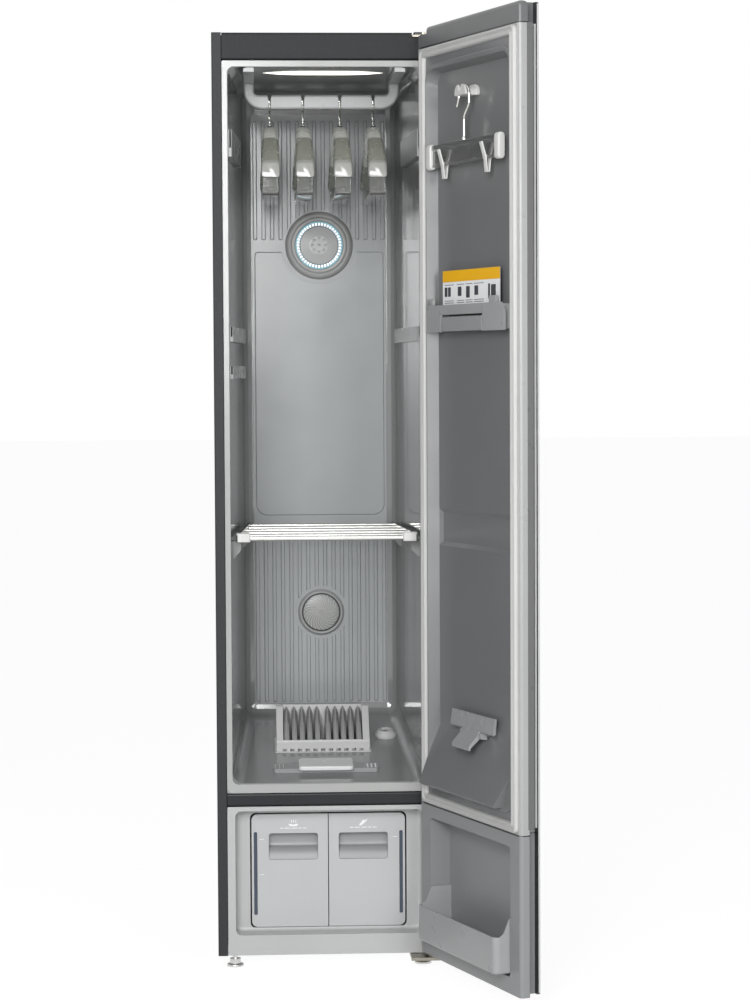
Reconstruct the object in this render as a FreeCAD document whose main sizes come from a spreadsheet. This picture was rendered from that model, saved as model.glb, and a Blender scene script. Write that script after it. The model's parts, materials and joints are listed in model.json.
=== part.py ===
"""Clothes care steam cabinet: a tall steel cabinet with a moulded inner liner, a moving hanger bar,
water tanks below and one full-height door, all as separate pieces in one frame.

Frame: millimetres, +Z up, the floor at z = 0, the cabinet's front towards -Y, and the origin on the
floor at the middle of the four levelling feet. Door pieces are drawn with the door shut and the
hinge axis as their local origin, then turned about that axis by door_angle.
"""
import FreeCAD, Part
import math
import operator
import os

import Sketcher

# --------------------------------------------------------------------------------------------------
# Driving dimensions, in millimetres and degrees
# --------------------------------------------------------------------------------------------------
SIZES = {
    # outer cabinet
    "cabinet_width": 445,
    "cabinet_height": 1858,
    "foot_height": 24,
    "panel_sheet": 2,
    "front_strip": 19,
    "strip_radius": 3,
    "rear_fold": 14,
    "seam": 1,
    "header_height": 55,
    "header_depth": 42,
    "header_radius": 5,
    "channel_wall": 2.5,
    "top_fold": 12,
    "cover_margin": 4,
    "divider_bottom": 324,
    "divider_height": 27.4,
    "divider_depth": 30,
    "divider_inset": 1,
    "louvre_length": 70,
    "louvre_width": 5,
    "louvre_pitch": 14,
    "louvre_count": 9,
    "louvre_height": 110,
    "louvre_offset": 55,
    "pan_sheet": 2.5,
    "pan_edge": 22,
    "pan_setback": 4,
    # levelling feet
    "foot_side_inset": 33.5,
    "foot_end_inset": 22,
    "foot_radius": 17,
    "foot_thickness": 6,
    "nut_radius": 11,
    "nut_top": 15,
    "stud_radius": 5,
    "stud_length": 42,
    "stud_clearance": 0.5,
    # inner liner
    "mouth_margin": 11,
    "cavity_narrowing": 27.5,
    "cavity_depth": 480,
    "rear_space": 48,
    "sill_height": 17.6,
    "cavity_floor_rise": 80,
    "ceiling_drop": 12,
    "cavity_corner": 22,
    "rear_corner": 18,
    "rear_corner_steps": 3,
    "liner_wall": 3,
    "mouth_bevel": 6,
    "collar_depth": 12,
    # rear duct cover
    "cover_side_margin": 20,
    "cover_floor_gap": 20,
    "cover_ceiling_gap": 46,
    "duct_cover_sheet": 1.5,
    "rib_count": 16,
    "rib_side_margin": 6.3,
    "rib_width": 9,
    "rib_height": 3,
    "rib_end_radius": 4,
    "rib_draft": 30,
    "upper_rib_gap": 25.3,
    "upper_rib_drop": 14,
    "lower_rib_length": 378,
    "plateau_side_margin": 4.5,
    "plateau_gap": 29.6,
    "plateau_drop": 13.7,
    "plateau_radius": 24,
    "plateau_top_radius": 8,
    "plateau_bite": 82.5,
    "upper_rib_bite": 76.5,
    "lower_rib_bite": 58,
    # air outlet and steam nozzle
    "outlet_drop": 281.6,
    "outlet_radius": 73,
    "outlet_depth": 12,
    "light_ring_inner": 41,
    "light_ring_outer": 51,
    "light_ring_depth": 8,
    "outlet_gap": 0.5,
    "disc_hole_radius": 3,
    "disc_hole_circle": 15,
    "disc_hole_count": 8,
    "disc_hole_depth": 6,
    "nozzle_rise": 199,
    "nozzle_radius": 50,
    "nozzle_depth": 11,
    "vane_count": 26,
    "vane_radius": 41,
    "vane_thickness": 1.2,
    "vane_height": 7,
    "hub_radius": 11,
    # ceiling
    "lens_side_gap": 18,
    "lens_front": 95,
    "lens_depth": 26,
    "lens_thickness": 4,
    "lens_radius": 12,
    "rail_outer_inset": 7,
    "rail_front": 9,
    "rail_height": 9,
    "rail_bevel": 2.5,
    "rail_gap": 0.3,
    # hanger bar
    "bar_thickness": 24,
    "bar_wall_gap": 17.75,
    "bar_drop": 60,
    "bar_height": 29,
    "bar_outer_radius": 38,
    "bar_inner_radius": 8,
    "bar_leg_width": 21,
    "bar_rounding": 5,
    "groove_width": 5.6,
    "groove_mouth": 10,
    # hangers
    "hanger_inner_place": 38,
    "hanger_leg_gap": 53.25,
    "hook_wire_radius": 2,
    "hook_radius": 15,
    "hook_rise": 8.5,
    "hook_clearance": 0.4,
    "hook_tip_drop": 7,
    "hook_length_below": 44.5,
    "shoulder_end_gap": 47,
    "shoulder_top_width": 28,
    "shoulder_end_width": 39,
    "shoulder_slope_drop": 63,
    "shoulder_height": 103,
    "shoulder_middle_depth": 34,
    "trouser_rail_width": 31,
    "trouser_rail_height": 32,
    "trouser_rail_thickness": 5,
    "trouser_rail_root": 14,
    "trouser_rail_setback": 6,
    # wall hooks and shelf supports
    "upper_rail_height": 54,
    "upper_rail_drop": 121,
    "middle_rail_height": 30,
    "middle_rail_drop": 510,
    "lower_rail_height": 25,
    "lower_rail_gap": 48,
    "hook_reach": 8,
    "side_rail_start": 14,
    "upper_rail_end": 300,
    "lower_rail_end": 440,
    "hook_plate": 2.5,
    "support_front_place": 70,
    "support_rear_gap": 90,
    "support_length": 34,
    "support_reach": 17,
    "support_drop": 34,
    # shelf
    "shelf_rise": 2.3,
    "shelf_thickness": 14,
    "shelf_front": 10,
    "shelf_rear_gap": 18,
    "shelf_wall_gap": 9.5,
    "shelf_arm_width": 5,
    "shelf_corner": 3,
    "shelf_cap_length": 28,
    "shelf_cap_depth": 20,
    "shelf_cap_height": 18,
    "shelf_bar_radius": 5,
    "rod_radius": 3.5,
    "rod_count": 5,
    "rod_pitch": 88,
    "rod_rear_gap": 25,
    # lint filter, in the plane of the sloping floor
    "filter_width": 193,
    "filter_offset": -5,
    "filter_front": 204,
    "filter_depth": 92,
    "filter_front_height": 24,
    "filter_back_height": 76,
    "filter_wall": 3,
    "filter_side": 14,
    "filter_flange": 4,
    "filter_flange_height": 2.5,
    "slot_count": 11,
    "slot_pitch": 16,
    "slot_width": 9,
    "slot_height": 5,
    "pleat_count": 10,
    "pleat_pitch": 16,
    "pleat_base": 7,
    "pleat_tip": 1,
    "floor_gap": 0.3,
    # drain port cap
    "port_side_gap": 34,
    "port_along": 308,
    "port_radius": 23,
    "port_height": 15,
    "port_well_radius": 14,
    "port_bar": 2,
    # aroma kit
    "aroma_offset": -3,
    "aroma_width": 213,
    "aroma_front": 68,
    "aroma_depth": 34,
    "aroma_height": 9,
    "aroma_stripe": 4,
    "aroma_handle_width": 111,
    "aroma_handle_front": 56,
    "aroma_handle_depth": 58,
    "aroma_handle_height": 8,
    "aroma_handle_radius": 9,
    # tank bay
    "bay_side_margin": 15.5,
    "kick_height": 41,
    "bay_margin": 9,
    "bay_depth": 45,
    "bay_corner": 12,
    "bay_fillet": 7,
    "bay_wall": 3,
    "tank_clearance": 3,
    "tank_side_margin": 32.2,
    "tank_rise": 7.2,
    "tank_drop": 14,
    "tank_corner": 12,
    "tank_split": 1.6,
    "tank_length": 285,
    "tank_front": 6,
    "tank_end_gap": 6,
    "grip_inner": 21,
    "grip_side_margin": 34.8,
    "grip_height": 54,
    "grip_drop": 39,
    "grip_depth": 24,
    "grip_wall": 2.5,
    "grip_corner": 5,
    "level_width": 7,
    "level_side_margin": 4.5,
    "level_rise": 24.8,
    "level_drop": 36,
    "level_depth": 2,
    # machinery
    "compressor_across": 118,
    "compressor_back_gap": 92,
    "compressor_radius": 56,
    "compressor_height": 165,
    "compressor_mount": 12,
    "generator_left": -45,
    "generator_width": 100,
    "generator_back_gap": 156,
    "generator_depth": 140,
    "generator_bottom": 34,
    "generator_height": 110,
    "generator_corner": 14,
    "steam_pipe_radius": 6,
    "steam_pipe_across": 30,
    "steam_pipe_back_gap": 28,
    "fan_across": -118,
    "fan_back_gap": 92,
    "fan_radius": 62,
    "fan_bottom": 205,
    "fan_height": 62,
    "fan_eye": 30,
    "duct_left": -78,
    "duct_width": 92,
    "duct_bottom": 285,
    "duct_rise": 66.6,
    "duct_gap": 0.5,
    "duct_depth": 34,
    "duct_wall": 2,
    "gland_side_gap": 72.5,
    "gland_height": 70,
    "gland_radius": 13,
    "gland_bore": 4,
    "gland_depth": 9,
    # door shell
    "door_angle": 111.2,
    "hinge_inset": 15.4,
    "hinge_forward": 28.7,
    "hinge_to_glass": 28,
    "door_thickness": 48,
    "door_side_inset": 11.6,
    "door_lift": 9,
    "door_rise": 4,
    "door_corner": 7,
    "glass_thickness": 5,
    "glass_setback": 14,
    "glass_corner": 4,
    "grip_channel": 26,
    "grip_lip": 21,
    "door_split_rise": 10.5,
    "cap_height": 39.5,
    "cap_notch": 25,
    "cap_notch_drop": 14,
    "cap_corner": 9,
    "pin_radius": 5,
    "pin_clearance": 0.05,
    "pin_length": 16,
    # door liner and gasket
    "liner_margin": 28,
    "liner_far_margin": 18,
    "liner_fit": 0.5,
    "liner_bottom_margin": 15,
    "liner_top_margin": 14,
    "door_liner_wall": 3,
    "recess_side_margin": 14.4,
    "recess_bottom_margin": 40.5,
    "recess_top_margin": 32.5,
    "recess_depth": 20,
    "recess_radius": 30,
    "recess_slope": 7,
    "ramp_rise": 116,
    "ramp_reach": 45,
    "ramp_bottom_gap": 12,
    "ramp_corner_cut": 34,
    "ramp_corner_height": 77,
    "ramp_rounding": 4,
    "band_bottom": 849,
    "band_top": 922,
    "band_depth": 6,
    "band_slope": 8,
    "bead_width": 3.4,
    "bead_height": 3,
    "gasket_margin": 18,
    "gasket_far_margin": 8,
    "gasket_width": 19,
    "gasket_gap": 3,
    "gasket_height": 8,
    "gasket_radius": 12,
    "gasket_rounding": 2.5,
    # door pocket and basket
    "pocket_side_margin": 45.4,
    "pocket_far_margin": 42,
    "pocket_margin_below": 31,
    "pocket_margin_above": 25.5,
    "pocket_depth": 42,
    "pocket_radius": 8,
    "basket_gap": 3,
    "basket_lift": 6,
    "basket_reach": 52,
    "basket_front_height": 70,
    "basket_end_height": 103,
    "basket_wall": 3,
    "basket_corner": 12,
    # accessory hook and trouser hanger on the door
    "saddle_drop": 68,
    "saddle_radius": 19,
    "saddle_reach": 27,
    "saddle_lip": 4,
    "saddle_lip_radius": 24,
    "saddle_foot_rise": 3.5,
    "trouser_hook_wire": 2.4,
    "trouser_hook_plane": 22,
    "trouser_hook_clearance": 0.5,
    "trouser_bar_gap": 10.5,
    "trouser_bar_far_gap": 32.1,
    "trouser_bar_height": 43,
    "trouser_hook_length": 80,
    "trouser_bar_thickness": 6,
    "trouser_cap_length": 20,
    "trouser_cap_thickness": 14,
    "trouser_cap_drop": 4,
    "trouser_cap_rise": 2,
    "clip_near_reach": 86,
    "clip_far_reach": 98,
    "peg_width": 15,
    "peg_reach_below": 25,
    "peg_top_drop": 11,
    "peg_blade": 2.5,
    "peg_spread": 9,
    # holder bar, lever and guide card
    "holder_near_gap": 2,
    "holder_far_gap": 20.6,
    "holder_low": 1266,
    "holder_height": 52,
    "holder_face": 25,
    "holder_plate": 5,
    "ear_height": 13,
    "ear_near_inset": 19,
    "ear_near_width": 12,
    "ear_far_width": 28,
    "ear_far_inset": 33,
    "holder_leg": 25,
    "holder_bevel": 14,
    "notch_near_inset": 66,
    "notch_far_inset": 89,
    "notch_height": 33,
    "lever_gap": 2,
    "lever_back": 12,
    "lever_wall": 3,
    "card_near_inset": 54,
    "card_far_inset": 36,
    "card_rise": 85,
    "card_thickness": 1,
    "card_offset": 13,
    "card_corner": 3,
    # hem clip
    "hem_near_inset": 91,
    "hem_length": 185,
    "hem_rise": 147,
    "hem_bar_height": 32,
    "hem_bar_offset": 10,
    "hem_thickness": 4,
    "hem_stem_inset": 52,
    "hem_stem_width": 73,
    "hem_height": 66,
    "hem_lip_reach": 40,
    "hem_pivot_drop": 39,
    "hem_pivot_offset": 14,
    "hem_pivot_radius": 2.5,
    "hem_boss_radius": 5,
    "hem_base_margin": 8,
    "hem_base_drop": 2,
    "hem_base_rise": 28,
    "hem_base_thickness": 4,
    "hem_lug": 7,
    # hinges
    "hinge_plate": 4,
    "lower_plate_thickness": 6,
    "hinge_tail": 40,
    "hinge_tail_width": 60.5,
    "upper_plate_width": 33.1,
    "upper_plate_gap": 4.1,
    "upper_arm_left_reach": 19.1,
    "upper_arm_right_reach": 11.9,
    "hinge_arm_reach": 13.3,
    "collar_radius": 9,
    "hinge_play": 0.3,
    "hinge_cover_inset": 2,
    "hinge_cover_height": 5.5,
}

DOCUMENT = FreeCAD.newDocument("SteamCabinet")
SHEET = DOCUMENT.addObject("Spreadsheet::Sheet", "Sizes")
for row, (alias, value) in enumerate(SIZES.items(), start=1):
    SHEET.set("A%d" % row, alias)
    SHEET.set("B%d" % row, str(value))
    SHEET.setAlias("B%d" % row, alias)
DOCUMENT.recompute()

PIECES = []
CUTS = []


# --------------------------------------------------------------------------------------------------
# Lengths that are numbers and sheet expressions at once
# --------------------------------------------------------------------------------------------------
OPERATIONS = {"+": operator.add, "-": operator.sub, "*": operator.mul, "/": operator.truediv}


class Length:
    """A number together with the sheet expression that gives it."""

    def __init__(self, number, text):
        self.number = number
        self.text = text

    def __add__(self, other):
        return combine(self, "+", other)

    def __radd__(self, other):
        return combine(other, "+", self)

    def __sub__(self, other):
        return combine(self, "-", other)

    def __rsub__(self, other):
        return combine(other, "-", self)

    def __mul__(self, other):
        return combine(self, "*", other)

    def __rmul__(self, other):
        return combine(other, "*", self)

    def __truediv__(self, other):
        return combine(self, "/", other)

    def __neg__(self):
        return combine(0, "-", self)


def length(value):
    """A plain number, or a length, as a length."""
    if isinstance(value, Length):
        return value
    return Length(value, "(%r)" % value)


def combine(left, sign, right):
    """A sum, difference, product or quotient of two lengths."""
    left = length(left)
    right = length(right)
    number = OPERATIONS[sign](left.number, right.number)
    return Length(number, "(%s %s %s)" % (left.text, sign, right.text))


def degrees(value):
    """A sheet value as an angle."""
    return Length(value.number, "%s * 1 deg" % value.text)


def slope(rise, run):
    """The angle whose tangent is rise over run."""
    number = math.degrees(math.atan2(rise.number, run.number))
    return Length(number, "atan(%s / %s)" % (rise.text, run.text))


def sine(angle):
    return Length(math.sin(math.radians(angle.number)), "sin(%s)" % angle.text)


def cosine(angle):
    return Length(math.cos(math.radians(angle.number)), "cos(%s)" % angle.text)


class Sheet:
    """Gives each alias of the sheet as a length."""

    def __getattr__(self, alias):
        return Length(SIZES[alias], "Sizes.%s" % alias)


size = Sheet()


def bind(item, path, value):
    """Ties one property of a document object to the sheet."""
    item.setExpression(path, length(value).text)


# --------------------------------------------------------------------------------------------------
# Sketch outlines
# --------------------------------------------------------------------------------------------------
class Drawing:
    """The edges and constraints of one sketch, added to it in one go."""

    def __init__(self):
        self.edges = []
        self.rules = []
        self.values = {}

    def edge(self, shape, construction=False):
        self.edges.append((shape, construction))
        return len(self.edges) - 1

    def rule(self, *words):
        self.rules.append(Sketcher.Constraint(*words))

    def dimension(self, value, *words):
        value = length(value)
        self.values[len(self.rules)] = value.text
        self.rule(*words, value.number)

    def locate(self, edge, point, x, y):
        self.dimension(x, "DistanceX", -1, 1, edge, point)
        self.dimension(y, "DistanceY", -1, 1, edge, point)

    def apply(self, sketch):
        for shape, construction in self.edges:
            sketch.addGeometry(shape, construction)
        sketch.addConstraint(self.rules)
        for index, text in self.values.items():
            sketch.setExpression("Constraints[%d]" % index, text)


def vector(x, y):
    return FreeCAD.Vector(length(x).number, length(y).number, 0)


def round_corner(before, corner, after, radius):
    """Where an arc at a corner starts and ends, the arc, and whether it runs anticlockwise."""
    to_before = (before - corner).normalize()
    to_after = (after - corner).normalize()
    half_angle = to_before.getAngle(to_after) / 2
    start = corner + to_before * (radius / math.tan(half_angle))
    end = corner + to_after * (radius / math.tan(half_angle))
    centre = corner + (to_before + to_after).normalize() * (radius / math.sin(half_angle))
    anticlockwise = to_after.cross(to_before).z > 0
    first, last = (start, end) if anticlockwise else (end, start)
    first_angle = math.atan2(first.y - centre.y, first.x - centre.x)
    last_angle = math.atan2(last.y - centre.y, last.x - centre.x)
    if last_angle < first_angle:
        last_angle += 2 * math.pi
    circle = Part.Circle(centre, FreeCAD.Vector(0, 0, 1), radius)
    return start, end, Part.ArcOfCircle(circle, first_angle, last_angle), anticlockwise


def trace(points, closed):
    """A function that draws straight edges through the points, with an arc where one has a radius."""

    def draw(drawing):
        count = len(points)
        spots = [vector(point[0], point[1]) for point in points]
        bends = {}
        for index, point in enumerate(points):
            if len(point) > 2:
                bends[index] = round_corner(spots[index - 1], spots[index],
                                            spots[(index + 1) % count], length(point[2]).number)
        lines = []
        for index in range(count if closed else count - 1):
            following = (index + 1) % count
            start = bends[index][1] if index in bends else spots[index]
            end = bends[following][0] if following in bends else spots[following]
            lines.append(drawing.edge(Part.LineSegment(start, end)))
        for index, point in enumerate(points):
            if index in bends:
                draw_bend(drawing, point, spots[index], bends[index], lines[index - 1], lines[index])
            elif closed or 0 < index < count - 1:
                drawing.rule("Coincident", lines[index - 1], 2, lines[index], 1)
                drawing.locate(lines[index], 1, point[0], point[1])
            elif index == 0:
                drawing.locate(lines[0], 1, point[0], point[1])
            else:
                drawing.locate(lines[-1], 2, point[0], point[1])

    return draw


def draw_bend(drawing, point, spot, bend, line_before, line_after):
    """An arc tangent to two lines whose corner stays at its point."""
    arc = drawing.edge(bend[2])
    corner = drawing.edge(Part.Point(spot), True)
    start, end = (1, 2) if bend[3] else (2, 1)
    drawing.locate(corner, 1, point[0], point[1])
    drawing.rule("PointOnObject", corner, 1, line_before)
    drawing.rule("PointOnObject", corner, 1, line_after)
    drawing.rule("Tangent", line_before, 2, arc, start)
    drawing.rule("Tangent", arc, end, line_after, 1)
    drawing.dimension(point[2], "Radius", arc)


def corners(*points):
    """A closed outline."""
    return trace(points, True)


def path(*points):
    """An open line."""
    return trace(points, False)


def rounded(left, bottom, right, top, radius):
    """A rectangle with rounded corners."""
    return corners((left, bottom, radius), (right, bottom, radius),
                   (right, top, radius), (left, top, radius))


def rectangle(left, bottom, right, top):
    return corners((left, bottom), (right, bottom), (right, top), (left, top))


def circle(x, y, radius):
    """A full circle."""

    def draw(drawing):
        shape = Part.Circle(vector(x, y), FreeCAD.Vector(0, 0, 1), length(radius).number)
        edge = drawing.edge(shape)
        drawing.locate(edge, 3, x, y)
        drawing.dimension(radius, "Radius", edge)

    return draw


# --------------------------------------------------------------------------------------------------
# Pieces
# --------------------------------------------------------------------------------------------------
class Piece:
    """One sub-part: a body whose features are added one after the other."""

    def __init__(self, label, place=(0, 0, 0), axis=(0, 0, 1), angle=None):
        self.body = DOCUMENT.addObject("PartDesign::Body", label)
        self.body.Label = label
        self.body.AllowCompound = True
        self.datum = {item.Role: item for item in self.body.Origin.OriginFeatures}
        turn = length(angle).number if angle else 0
        self.body.Placement = FreeCAD.Placement(
            FreeCAD.Vector(), FreeCAD.Rotation(FreeCAD.Vector(*axis), turn))
        for letter, value in zip("xyz", place):
            bind(self.body, "Placement.Base." + letter, value)
        if angle:
            bind(self.body, "Placement.Rotation.Angle", angle)
        PIECES.append(self.body)

    def sketch(self, plane, level, loops, axis=None):
        """A sketch parallel to a datum plane, at a level along that plane's own axis."""
        sketch = self.body.newObject("Sketcher::SketchObject", "Outline")
        sketch.AttachmentSupport = (self.datum[plane + "_Plane"], [""])
        sketch.MapMode = "FlatFace"
        bind(sketch, "AttachmentOffset.Base.z", -length(level) if plane == "XZ" else level)
        drawing = Drawing()
        if axis:
            start, end = axis
            line = drawing.edge(Part.LineSegment(vector(*start), vector(*end)), True)
            drawing.locate(line, 1, *start)
            drawing.locate(line, 2, *end)
        for loop in loops:
            loop(drawing)
        drawing.apply(sketch)
        return sketch

    def feature(self, kind, profile=None):
        """A new feature, which becomes the body's tip."""
        feature = self.body.newObject("PartDesign::" + kind, kind)
        if profile:
            feature.Profile = profile
        self.body.Tip = feature
        if kind in ("Pocket", "Groove", "SubtractiveLoft"):
            CUTS.append(feature)
        return feature

    def extrude(self, kind, plane, low, high, loops, taper=None):
        starts_high = (plane == "XZ") == (kind == "Pad")
        feature = self.feature(kind, self.sketch(plane, high if starts_high else low, loops))
        bind(feature, "Length", length(high) - low)
        if taper:
            bind(feature, "TaperAngle", taper)
        return feature

    def pad(self, plane, low, high, *loops, taper=None):
        """Material between two levels."""
        return self.extrude("Pad", plane, low, high, loops, taper)

    def pocket(self, plane, low, high, *loops, taper=None):
        """A cut between two levels."""
        return self.extrude("Pocket", plane, low, high, loops, taper)

    def turn(self, plane, level, axis, *loops, kind="Revolution"):
        """Outlines turned all round an axis in their plane."""
        profile = self.sketch(plane, level, loops, axis)
        feature = self.feature(kind, profile)
        feature.ReferenceAxis = (profile, ["Axis0"])
        feature.Angle = 360
        return feature

    def loft(self, plane, *sections, kind="AdditiveLoft", ruled=False):
        """A solid through outlines at several levels, smooth or with straight sides."""
        sketches = [self.sketch(plane, level, [loop]) for level, loop in sections]
        feature = self.feature(kind, sketches[0])
        feature.Sections = sketches[1:]
        feature.Ruled = ruled
        return feature

    def rod(self, route_plane, route_level, route, profile_level, profile):
        """A round wire that starts upwards and follows a route."""
        spine = self.sketch(route_plane, route_level, [route])
        feature = self.feature("AdditivePipe", self.sketch("XY", profile_level, [profile]))
        feature.Spine = (spine, [])
        return feature

    def row(self, features, axis, step, count):
        """Copies of features in a line."""
        feature = self.feature("LinearPattern")
        feature.Originals = features
        feature.Direction = (self.datum[axis + "_Axis"], [""])
        bind(feature, "Length", length(step) * (length(count) - 1))
        bind(feature, "Occurrences", count)
        return feature

    def ring(self, features, axis, count):
        """Copies of features all round an axis."""
        feature = self.feature("PolarPattern")
        feature.Originals = features
        feature.Axis = (self.datum[axis + "_Axis"], [""])
        feature.Angle = 360
        bind(feature, "Occurrences", count)
        return feature

    def mirror(self, plane):
        """The whole piece and its mirror image."""
        feature = self.feature("Mirrored")
        feature.MirrorPlane = (self.datum[plane + "_Plane"], [""])
        feature.TransformMode = "Whole shape"
        return feature

    def soften(self, kind, width, chosen):
        """A fillet or chamfer on the edges that the test picks."""
        DOCUMENT.recompute()
        tip = self.body.Tip
        names = ["Edge%d" % number for number, edge in enumerate(tip.Shape.Edges, start=1) if chosen(edge)]
        if not names:
            raise RuntimeError("no edge to soften on " + self.body.Label)
        feature = self.feature(kind)
        feature.Base = (tip, names)
        bind(feature, "Radius" if kind == "Fillet" else "Size", width)
        return feature


def at_level(axis, value):
    """A test for edges that lie in a plane square to an axis."""
    position = "xyz".index(axis)
    level = length(value).number

    def test(edge):
        return all(abs(vertex.Point[position] - level) < 0.01 for vertex in edge.Vertexes)

    return test


def runs_along(axis):
    """A test for straight edges parallel to an axis."""
    position = "xyz".index(axis)

    def test(edge):
        first, last = edge.Vertexes[0].Point, edge.Vertexes[-1].Point
        return edge.Length > 0.1 and abs(abs(first[position] - last[position]) - edge.Length) < 0.001

    return test


# --------------------------------------------------------------------------------------------------
# Places that several pieces share
# --------------------------------------------------------------------------------------------------
BODY_DEPTH = size.cavity_depth + size.rear_space
HALF = size.cabinet_width / 2
FRONT = -(BODY_DEPTH / 2)
BACK = BODY_DEPTH / 2
TOP = size.cabinet_height
INSIDE = HALF - size.panel_sheet
FACE = HALF - size.front_strip - size.seam
PAN_TOP = size.foot_height + size.pan_sheet
COVER_INSIDE = BACK - size.panel_sheet
FOOT_SPACING_ACROSS = size.cabinet_width - size.foot_side_inset * 2
GLAND_ACROSS = HALF - size.gland_side_gap
FOOT_SPACING_DEEP = BODY_DEPTH - size.foot_end_inset * 2
DIVIDER_TOP = size.divider_bottom + size.divider_height
HEADER_BOTTOM = TOP - size.header_height

# the cavity
CEILING = HEADER_BOTTOM - size.ceiling_drop
CAVITY_FLOOR = DIVIDER_TOP + size.sill_height
CAVITY_FRONT_WIDTH = (FACE - size.mouth_margin) * 2
CAVITY_BACK_WIDTH = CAVITY_FRONT_WIDTH - size.cavity_narrowing * 2
REAR_WALL = FRONT + size.cavity_depth
LINER_BACK = REAR_WALL + size.liner_wall
FLOOR_ANGLE = slope(size.cavity_floor_rise, size.cavity_depth)
PORT_ACROSS = CAVITY_BACK_WIDTH / 2 - size.port_side_gap
UPPER_RAIL_TOP = CEILING - size.upper_rail_drop
UPPER_RAIL_BOTTOM = UPPER_RAIL_TOP - size.upper_rail_height
MIDDLE_RAIL_TOP = CEILING - size.middle_rail_drop
MIDDLE_RAIL_BOTTOM = MIDDLE_RAIL_TOP - size.middle_rail_height
LOWER_RAIL_TOP = MIDDLE_RAIL_BOTTOM - size.lower_rail_gap
LOWER_RAIL_BOTTOM = LOWER_RAIL_TOP - size.lower_rail_height

# the rear duct cover
COVER_BOTTOM = CAVITY_FLOOR + size.cavity_floor_rise + size.cover_floor_gap
COVER_TOP = CEILING - size.cover_ceiling_gap
DUCT_COVER_WIDTH = CAVITY_BACK_WIDTH - size.cover_side_margin * 2
PLATEAU_WIDTH = DUCT_COVER_WIDTH - size.plateau_side_margin * 2
RIB_PITCH = (DUCT_COVER_WIDTH - size.rib_side_margin * 2) / (size.rib_count - 1)
LOWER_RIB_BOTTOM = COVER_BOTTOM + size.rib_height
LOWER_RIB_TOP = LOWER_RIB_BOTTOM + size.lower_rib_length
NOZZLE_HEIGHT = COVER_BOTTOM + size.nozzle_rise
PLATEAU_BOTTOM = LOWER_RIB_TOP + size.plateau_gap
OUTLET_HEIGHT = COVER_TOP - size.outlet_drop
PLATEAU_TOP = OUTLET_HEIGHT - size.plateau_drop
UPPER_RIB_BOTTOM = PLATEAU_TOP + size.upper_rib_gap
UPPER_RIB_TOP = COVER_TOP - size.upper_rib_drop
DUCT_TOP = OUTLET_HEIGHT + size.duct_rise

# hanger bar, hangers and shelf
BAR_PLACE = FRONT + size.cavity_depth / 2
BAR_BOTTOM = CEILING - size.bar_drop
BAR_HALF_WIDTH = (CAVITY_FRONT_WIDTH + CAVITY_BACK_WIDTH) / 4 - size.bar_wall_gap
LEG_INNER = BAR_HALF_WIDTH - size.bar_leg_width
HANGER_OUTER_PLACE = BAR_HALF_WIDTH - size.hanger_leg_gap
HOOK_CENTRE = BAR_BOTTOM + size.hook_rise
SHOULDER_HALF_LENGTH = size.cavity_depth / 2 - size.shoulder_end_gap
SHOULDER_TOP = HOOK_CENTRE - size.hook_length_below
SHOULDER_END_TOP = SHOULDER_TOP - size.shoulder_slope_drop
SHOULDER_END_BOTTOM = SHOULDER_TOP - size.shoulder_height
TROUSER_RAIL_BOTTOM = SHOULDER_END_BOTTOM - size.trouser_rail_height
SHELF_UNDERSIDE = LOWER_RIB_TOP + size.shelf_rise
SHELF_DEPTH = size.cavity_depth - size.shelf_front - size.shelf_rear_gap
ROD_LAST_PLACE = size.cavity_depth - size.rod_rear_gap
SUPPORT_REAR_PLACE = size.cavity_depth - size.support_rear_gap

# the tank bay
BAY_TOP = size.divider_bottom - size.bay_margin
BAY_BOTTOM = size.foot_height + size.kick_height
BAY_HALF_WIDTH = FACE - size.bay_side_margin
TANK_HALF_WIDTH = BAY_HALF_WIDTH - size.tank_side_margin
TANK_BOTTOM = BAY_BOTTOM + size.tank_rise
TANK_TOP = BAY_TOP - size.tank_drop
GRIP_OUTER = TANK_HALF_WIDTH - size.grip_side_margin
GRIP_TOP = TANK_TOP - size.grip_drop
GRIP_BOTTOM = GRIP_TOP - size.grip_height
LEVEL_OUTER = TANK_HALF_WIDTH - size.level_side_margin
LEVEL_INNER = LEVEL_OUTER - size.level_width
LEVEL_BOTTOM = TANK_BOTTOM + size.level_rise
LEVEL_TOP = TANK_TOP - size.level_drop

# the machinery behind it, measured from the back
COMPRESSOR_ALONG = BODY_DEPTH - size.compressor_back_gap
GENERATOR_FRONT = BODY_DEPTH - size.generator_back_gap
STEAM_PIPE_ALONG = BODY_DEPTH - size.steam_pipe_back_gap
FAN_ALONG = BODY_DEPTH - size.fan_back_gap

# the door, with the hinge axis as its own origin
HINGE_X = HALF - size.hinge_inset
HINGE_Y = FRONT - size.hinge_forward
DOOR_OUTER = -size.hinge_to_glass
DOOR_CORE = DOOR_OUTER + size.glass_thickness
DOOR_INNER = DOOR_OUTER + size.door_thickness
DOOR_FREE = size.hinge_inset + size.door_side_inset - size.cabinet_width
DOOR_BOTTOM = size.foot_height + size.door_lift
DOOR_TOP = TOP + size.door_rise
CAP_BOTTOM = DOOR_TOP - size.cap_height
CAP_NOTCH_FLOOR = DOOR_TOP - size.cap_notch_drop
LOWER_PANEL_TOP = size.divider_bottom + size.door_split_rise
DOOR_LINER_BOTTOM = LOWER_PANEL_TOP + size.liner_bottom_margin
DOOR_LINER_TOP = CAP_BOTTOM - size.liner_top_margin
GASKET_BOTTOM = LOWER_PANEL_TOP + size.gasket_gap + size.liner_fit
GASKET_TOP = CAP_BOTTOM - size.gasket_gap
RECESS_NEAR = size.liner_margin - size.hinge_inset + size.recess_side_margin
RECESS_FAR = -DOOR_FREE - size.liner_far_margin - size.recess_side_margin
RECESS_BOTTOM = DOOR_LINER_BOTTOM + size.recess_bottom_margin
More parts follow.
